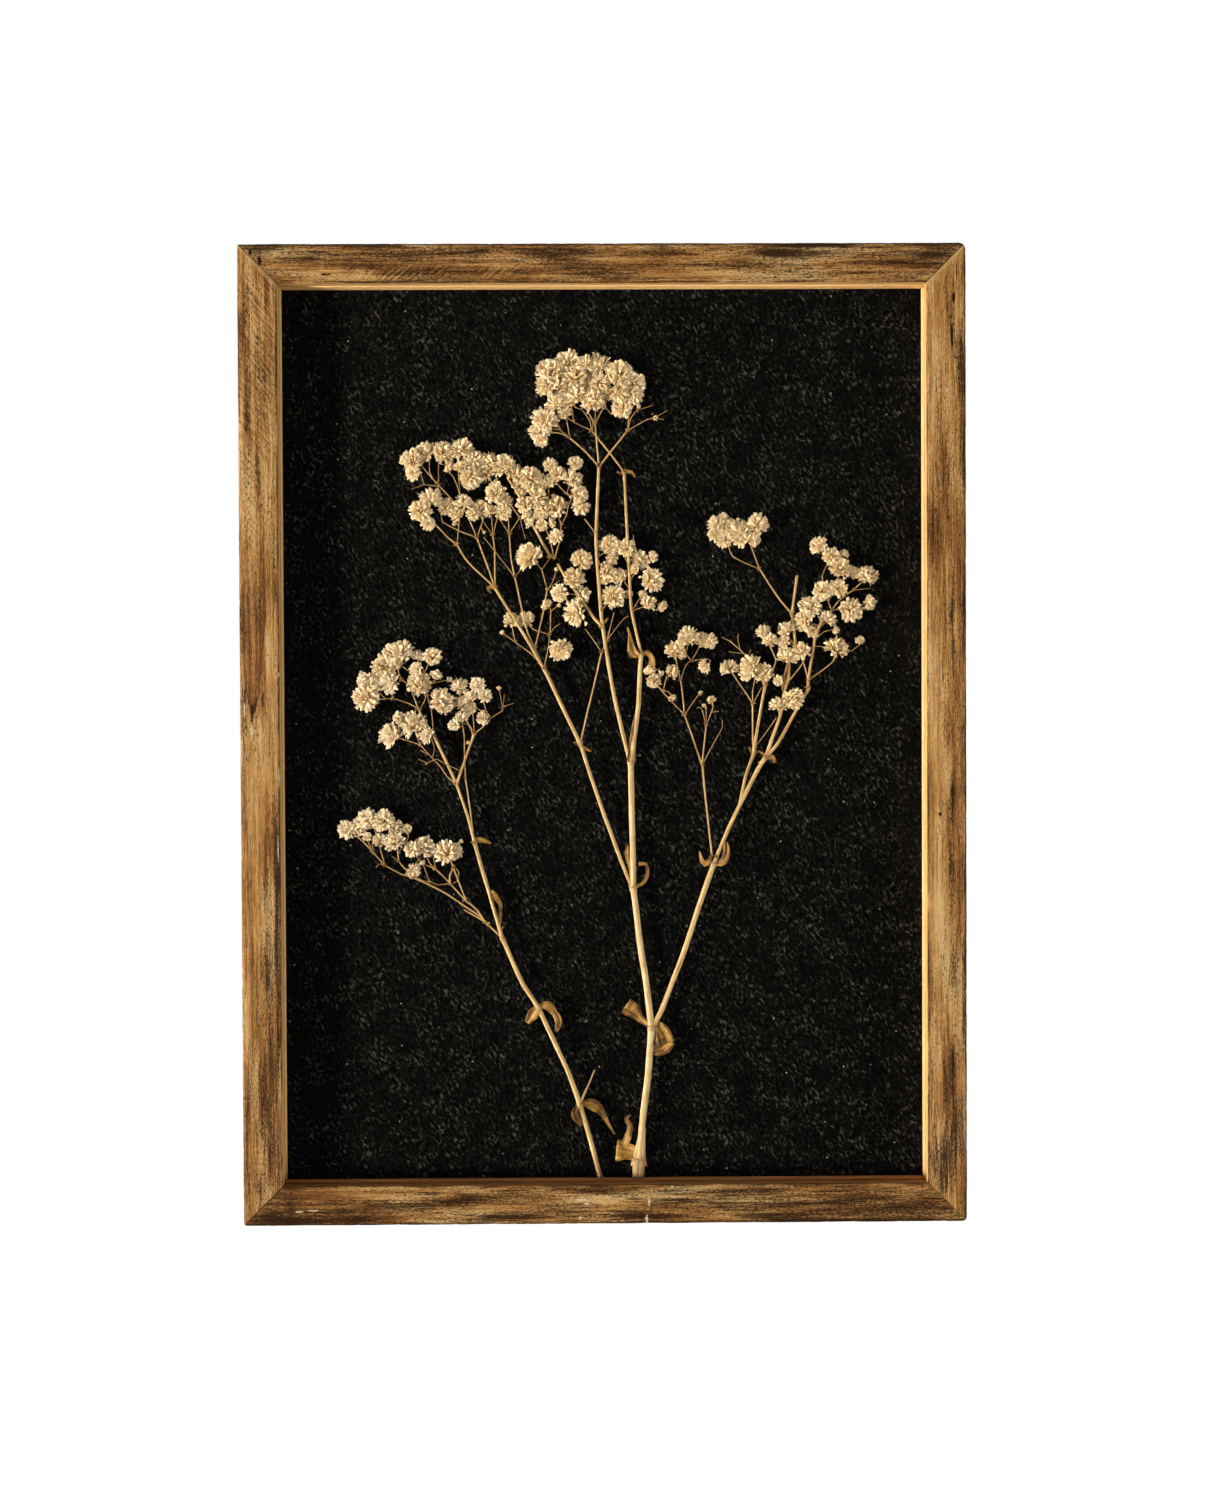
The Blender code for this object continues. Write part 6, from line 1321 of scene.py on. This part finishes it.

# ---------------------------------------------------------------- left sprig upper branch
# The upper of the smaller spray's two branches, which carries most of its flowers.
# They are a little whiter than those of the other spray.

LEFT_SPRIG_UPPER_BRANCH = {
    "shoots": [
        ([(-28.5, 78.4), (-36, 105)], 1.3, 1.2), ([(-36, 105), (-38, 113), (-41, 121.5)], 1, 0.9),
        ([(-36.3, 106.3), (-38.5, 123)], 0.7, 0.6), ([(-41, 121.5), (-47, 134.5)], 1, 0.9),
        ([(-47, 134.5), (-51.5, 142.5)], 0.8, 0.8),
        ([(-51.5, 142.5), (-54.5, 149.5), (-56, 150.5)], 0.6, 0.5),
        ([(-56, 150.5), (-57, 153), (-56.5, 156)], 0.4, 0.4),
        ([(-51.5, 142.5), (-54, 144), (-58.5, 145.5)], 0.6, 0.4), ([(-58.5, 145.5), (-64.5, 145)], 0.4, 0.3),
        ([(-58.5, 145.5), (-59, 147.5)], 0.4, 0.3), ([(-60.5, 145.3), (-63.5, 148)], 0.3, 0.3),
        ([(-51.3, 142.1), (-49.5, 145.5), (-51, 149)], 0.5, 0.4),
        ([(-47.2, 134.9), (-48, 142.5), (-49, 146)], 0.5, 0.4),
        ([(-49, 146), (-50, 153.5), (-51.5, 156)], 0.4, 0.4),
        ([(-56.7, 154.9), (-54, 153), (-52.5, 152)], 0.3, 0.3), ([(-49.3, 148), (-46.5, 151)], 0.3, 0.3),
        ([(-47.9, 149.5), (-43, 150.5)], 0.3, 0.3), ([(-49.9, 152.4), (-47.5, 157)], 0.4, 0.3),
        ([(-41, 121.5), (-43.5, 123.5), (-45.5, 126.5), (-51, 132.5)], 0.6, 0.5),
        ([(-51, 132.5), (-53, 137.5)], 0.4, 0.4), ([(-48.1, 129.4), (-51, 131)], 0.3, 0.3),
        ([(-47.7, 128.9), (-47, 131.5), (-48, 134.5)], 0.3, 0.3), ([(-51, 132.5), (-57, 134.5)], 0.4, 0.4),
        ([(-43.3, 126.6), (-46.5, 128.5), (-49, 127.5), (-51.5, 128.5)], 0.3, 0.3),
        ([(-39.7, 125.1), (-45.5, 128)], 0.4, 0.3), ([(-49, 127.5), (-49.5, 127)], 0.4, 0.3),
        ([(-41, 121.5), (-36, 135.5)], 0.9, 0.8), ([(-38.5, 123), (-39, 135.5), (-40, 141.5)], 0.6, 0.4),
        ([(-36.2, 135.1), (-40, 143)], 0.6, 0.4), ([(-36.2, 135.1), (-37, 137.5), (-39, 138.5)], 0.3, 0.3),
        ([(-36, 135.5), (-36.5, 145)], 0.4, 0.4), ([(-36, 135.5), (-33.5, 137.5), (-32, 139.5)], 0.7, 0.5),
        ([(-32, 139.5), (-34.5, 148.5)], 0.4, 0.4), ([(-32.4, 141.1), (-37.5, 143.5)], 0.4, 0.4),
        ([(-32, 139.5), (-28, 142)], 0.4, 0.4), ([(-28, 142), (-29, 148)], 0.3, 0.3),
        ([(-28.1, 142.5), (-27.5, 146.5)], 0.3, 0.3), ([(-28, 143), (-25, 144)], 0.3, 0.3),
        ([(-40, 143), (-45, 144.5)], 0.4, 0.3), ([(-48, 142.5), (-45, 144.5)], 0.4, 0.4),
        ([(-39.5, 142.5), (-40, 145.5), (-39.5, 147.5)], 0.4, 0.4), ([(-39.3, 137.4), (-41, 138)], 0.3, 0.3),
        ([(-38.9, 132.5), (-38, 133)], 0.3, 0.3), ([(-57, 134.5), (-57, 140)], 0.3, 0.3),
        ([(-56, 150.5), (-61, 154.5)], 0.4, 0.4), ([(-61, 154.5), (-66, 150.5)], 0.4, 0.4),
    ],
    "heads": [
        (-56, 158.5, 6.5, -56.5, 156), (-59, 158, 5, -56.6, 155.5), (-61, 154.5, 6.5, -58.5, 152.5),
        (-57.5, 154.5, 4, -57, 153), (-66, 150.5, 5.5, -63.5, 152.5), (-63, 151.5, 4, -60.8, 154.3),
        (-59, 149.5, 6, -56, 150.5), (-66, 145.5, 7.5, -64.5, 145), (-63.5, 148, 3.5, -62.5, 147.1),
        (-51.5, 157, 4, -51.3, 155.6), (-47.5, 157, 5, -48.5, 155), (-52, 153.5, 4, -49.9, 152.5),
        (-51.5, 149.5, 6.5, -50.5, 147.5), (-46.5, 151.5, 3.5, -46.9, 149.7), (-43, 150.5, 2, -43.6, 150.4),
        (-45, 144.5, 7, -46.5, 143.5), (-40, 148.5, 5, -39.5, 147), (-37, 145.5, 4, -36.5, 143),
        (-39.5, 144, 4.5, -39.5, 142.5), (-39.5, 141, 4.5, -40, 141.5), (-41.5, 138, 3.5, -40.5, 138),
        (-35, 149, 4.5, -34, 148), (-33, 146, 4, -33.5, 145.5), (-33.5, 140, 4, -32, 139.5),
        (-37, 142.5, 3.5, -36.5, 142.5), (-57, 140, 3.5, -57, 138), (-59, 135, 7, -57, 134.5),
        (-53, 138, 7.5, -53, 136.5), (-49, 135, 4.5, -48, 134.5), (-38, 133, 1.5, -38.9, 132.5),
        (-29, 148, 1.5, -29, 147.5),
    ],
    "leaves": [
        [(-36.2, 105.8, 1), (-34, 106, 1.5), (-31.5, 105, 0.5)],
        [(-29.3, 80.9, 0.5), (-29, 85, 1), (-29, 88, 1), (-30.5, 90.5, 1.5), (-31.5, 92, 0.5)],
        [(-29.1, 80.5, 0.5), (-28, 82, 0.5)],
    ],
}

make_plant("left_sprig_upper_branch", LEFT_SPRIG_UPPER_BRANCH, 53, SPRIG_FINISHES)

# ---------------------------------------------------------------- left sprig lower branch
# The lower of the smaller spray's two branches, a shoot that leans far left.
# Its flowers are like those above it.

LEFT_SPRIG_LOWER_BRANCH = {
    "shoots": [
        ([(-28.6, 78.6), (-30.5, 80.5), (-33.5, 83.5), (-35.5, 86.5), (-38.5, 89)], 0.8, 0.8),
        ([(-38.5, 89), (-47, 98)], 0.7, 0.6), ([(-38.5, 89), (-43.5, 102.5)], 0.7, 0.6),
        ([(-32.2, 82.2), (-34.5, 84.5), (-44, 91), (-53, 95.5)], 0.8, 0.7),
        ([(-53, 95.5), (-56.5, 96.5), (-61, 99)], 0.6, 0.6),
        ([(-61, 99), (-67, 105.5), (-70.5, 108.5)], 0.6, 0.5), ([(-61, 99), (-62.5, 104.5)], 0.5, 0.4),
        ([(-62.5, 104.5), (-62.5, 106)], 0.4, 0.4), ([(-62.5, 104.5), (-64, 109.5), (-65, 111)], 0.4, 0.3),
        ([(-61, 99), (-62.5, 99.5), (-63.5, 98.5)], 0.4, 0.3), ([(-64.4, 102.6), (-66, 106.5)], 0.5, 0.4),
        ([(-63.9, 102.1), (-64.5, 104.5), (-64.5, 106.5)], 0.4, 0.3),
        ([(-53, 95.5), (-57, 100), (-57.5, 104)], 0.6, 0.5), ([(-57, 100), (-59, 101.5)], 0.4, 0.3),
        ([(-57.3, 102.4), (-56, 104.5), (-54.5, 106.5), (-54.5, 108)], 0.4, 0.4),
        ([(-57.5, 104), (-58.5, 106.5), (-58.5, 108.5)], 0.4, 0.4),
        ([(-58.5, 108.5), (-60, 110.5), (-61, 111)], 0.4, 0.4),
        ([(-47, 98), (-48.5, 99.5), (-50, 103.5)], 0.5, 0.4), ([(-47, 98), (-47.5, 101)], 0.3, 0.3),
        ([(-47, 98), (-50.5, 99.5), (-53.5, 103)], 0.4, 0.4),
        ([(-43.1, 93.9), (-46, 93.5), (-48.5, 94.5), (-50.5, 99.5)], 0.4, 0.4),
        ([(-48.5, 94.5), (-50, 94.5), (-52, 95.5)], 0.4, 0.3), ([(-51.3, 100.4), (-53.5, 102.5)], 0.4, 0.3),
        ([(-33, 83), (-39, 86.5)], 0.7, 0.6), ([(-42.2, 99), (-40.5, 97), (-41, 94.5), (-42, 94)], 0.4, 0.4),
        ([(-42, 98.5), (-43, 96), (-43, 94)], 0.7, 0.8), ([(-70.5, 108.5), (-70, 108)], 0.4, 0.4),
    ],
    "heads": [
        (-71.5, 109, 5.5, -70, 108), (-68.5, 109.5, 5, -68.9, 107.1), (-66, 112, 5.5, -65, 111),
        (-65, 110, 3.5, -64.5, 109.5), (-61.5, 111.5, 6, -61, 111), (-58.5, 109.5, 5, -59.5, 109.5),
        (-58.5, 105.5, 6, -57.5, 104), (-62.5, 106, 4, -62.5, 104.5), (-55, 109, 3, -54.5, 108),
        (-53.5, 103.5, 4.5, -53.5, 102.5), (-50, 104, 6, -50, 102.5), (-44, 102.5, 6.5, -43.5, 101.5),
        (-41.5, 103, 4.5, -42.9, 100.9), (-53.5, 97.5, 4.5, -55.3, 98.1), (-66, 107, 2.5, -66, 106.5),
        (-50.5, 99.5, 2, -50.5, 99.5), (-40, 105.5, 1.5, -41, 104),
    ],
    "leaves": [],
}

make_plant("left_sprig_lower_branch", LEFT_SPRIG_LOWER_BRANCH, 60, SPRIG_FINISHES)

# ---------------------------------------------------------------- floor, light and camera
# The frame hangs against white: a plain white studio floor well below it, one soft lamp low from the left
# and three weak fills, all outside the angles at which the glass would mirror them to the camera.

FLOOR_LEVEL = -1.1      # metres
FLOOR_REACH = ((-6, -3), (6, -3), (6, 9), (-6, 9))
KEY_WAY = Vector((0.860, 0.490, 0.160)).normalized()
KEY_DISTANCE = 4.5
LAMPS = (               # name, metres from the frame, metres across, watts, colour
    ("key_lamp", -KEY_WAY * KEY_DISTANCE, 0.6, 232.0, "#FFF6E8"),
    ("fill_lamp_above", Vector((0.3, -0.9, 1.6)), 1.0, 1.8, "#FFFFFF"),
    ("fill_lamp_right", Vector((1.8, -0.75, -0.5)), 0.8, 15.0, "#FFF6E8"),
    ("fill_lamp_behind", Vector((-0.6, 2.0, 0.9)), 1.2, 26.0, "#FFFFFF"),
)
SKY_LIGHT = 0.009       # how bright the white around is to everything but the camera
CAMERA_PLACE = Vector((-6.664, -610.9, 141.726)) * MM
CAMERA_PITCH = math.radians(-0.98815)
CAMERA_YAW = math.radians(-0.60851)
CAMERA_ROLL = math.radians(0.25729)
CAMERA_LENS = 52.455

scene = bpy.context.scene
scene.view_settings.view_transform = "Standard"

floor_mesh = bpy.data.meshes.new("studio_floor")
floor_mesh.from_pydata([(x, y, FLOOR_LEVEL) for x, y in FLOOR_REACH], [], [(0, 1, 2, 3)])
floor = bpy.data.objects.new("studio_floor", floor_mesh)
scene.collection.objects.link(floor)


def white_floor_paint():
    """Matt white paint, very faintly mottled, and lit enough to be plain white."""
    made, tree = start_material("white_floor_paint")
    place = add_node(tree, "TexCoord", out="Object")
    mottle = add_node(tree, "TexNoise", {"Vector": place, "Scale": 3.0, "Detail": 3.0})
    paint = add_node(tree, "ValToRGB", [mottle], stops=((0.3, "#F4F4F2"), (0.7, "#FBFBFA")))
    shader = add_node(tree, "BsdfPrincipled", {
        "Base Color": paint, "Roughness": 0.8, "Emission Color": srgb("#FFFFFF"), "Emission Strength": 1.0})
    add_node(tree, "OutputMaterial", [shader])
    return made


floor_mesh.materials.append(white_floor_paint())
floor.visible_diffuse = False
floor.visible_glossy = False
floor.visible_transmission = False

for name, away, size, power, colour in LAMPS:
    light = bpy.data.lights.new(name, "AREA")
    light.shape = "DISK"
    light.size = size
    light.energy = power
    light.color = srgb(colour)[:3]
    lamp = bpy.data.objects.new(name, light)
    scene.collection.objects.link(lamp)
    lamp.location = away + Vector((0.0, 0.0, HEIGHT / 2 * MM))
    lamp.rotation_euler = (-away).to_track_quat("-Z", "Y").to_euler()
    lamp.visible_camera = False

world = bpy.data.worlds.new("studio")
scene.world = world
world.use_nodes = True
sky = world.node_tree
sky.nodes.clear()
seen = add_node(sky, "LightPath", out="Is Camera Ray")
strength = add_node(sky, "MapRange", [seen, 0.0, 1.0, SKY_LIGHT, 1.0])
white = add_node(sky, "Background", [srgb("#FFFFFF"), strength])
add_node(sky, "OutputWorld", [white])

camera_data = bpy.data.cameras.new("photo_camera")
camera_data.lens = CAMERA_LENS
camera_data.sensor_width = 36.0
camera_data.clip_start = 0.01
camera = bpy.data.objects.new("photo_camera", camera_data)
scene.collection.objects.link(camera)
turned = (Matrix.Rotation(CAMERA_YAW, 3, "Z") @ Matrix.Rotation(CAMERA_PITCH, 3, "X")
          @ Matrix.Rotation(CAMERA_ROLL, 3, "Y"))
facing = Matrix((turned.col[0], turned.col[2], -turned.col[1])).transposed().to_4x4()
camera.matrix_world = Matrix.Translation(CAMERA_PLACE) @ facing
scene.camera = camera
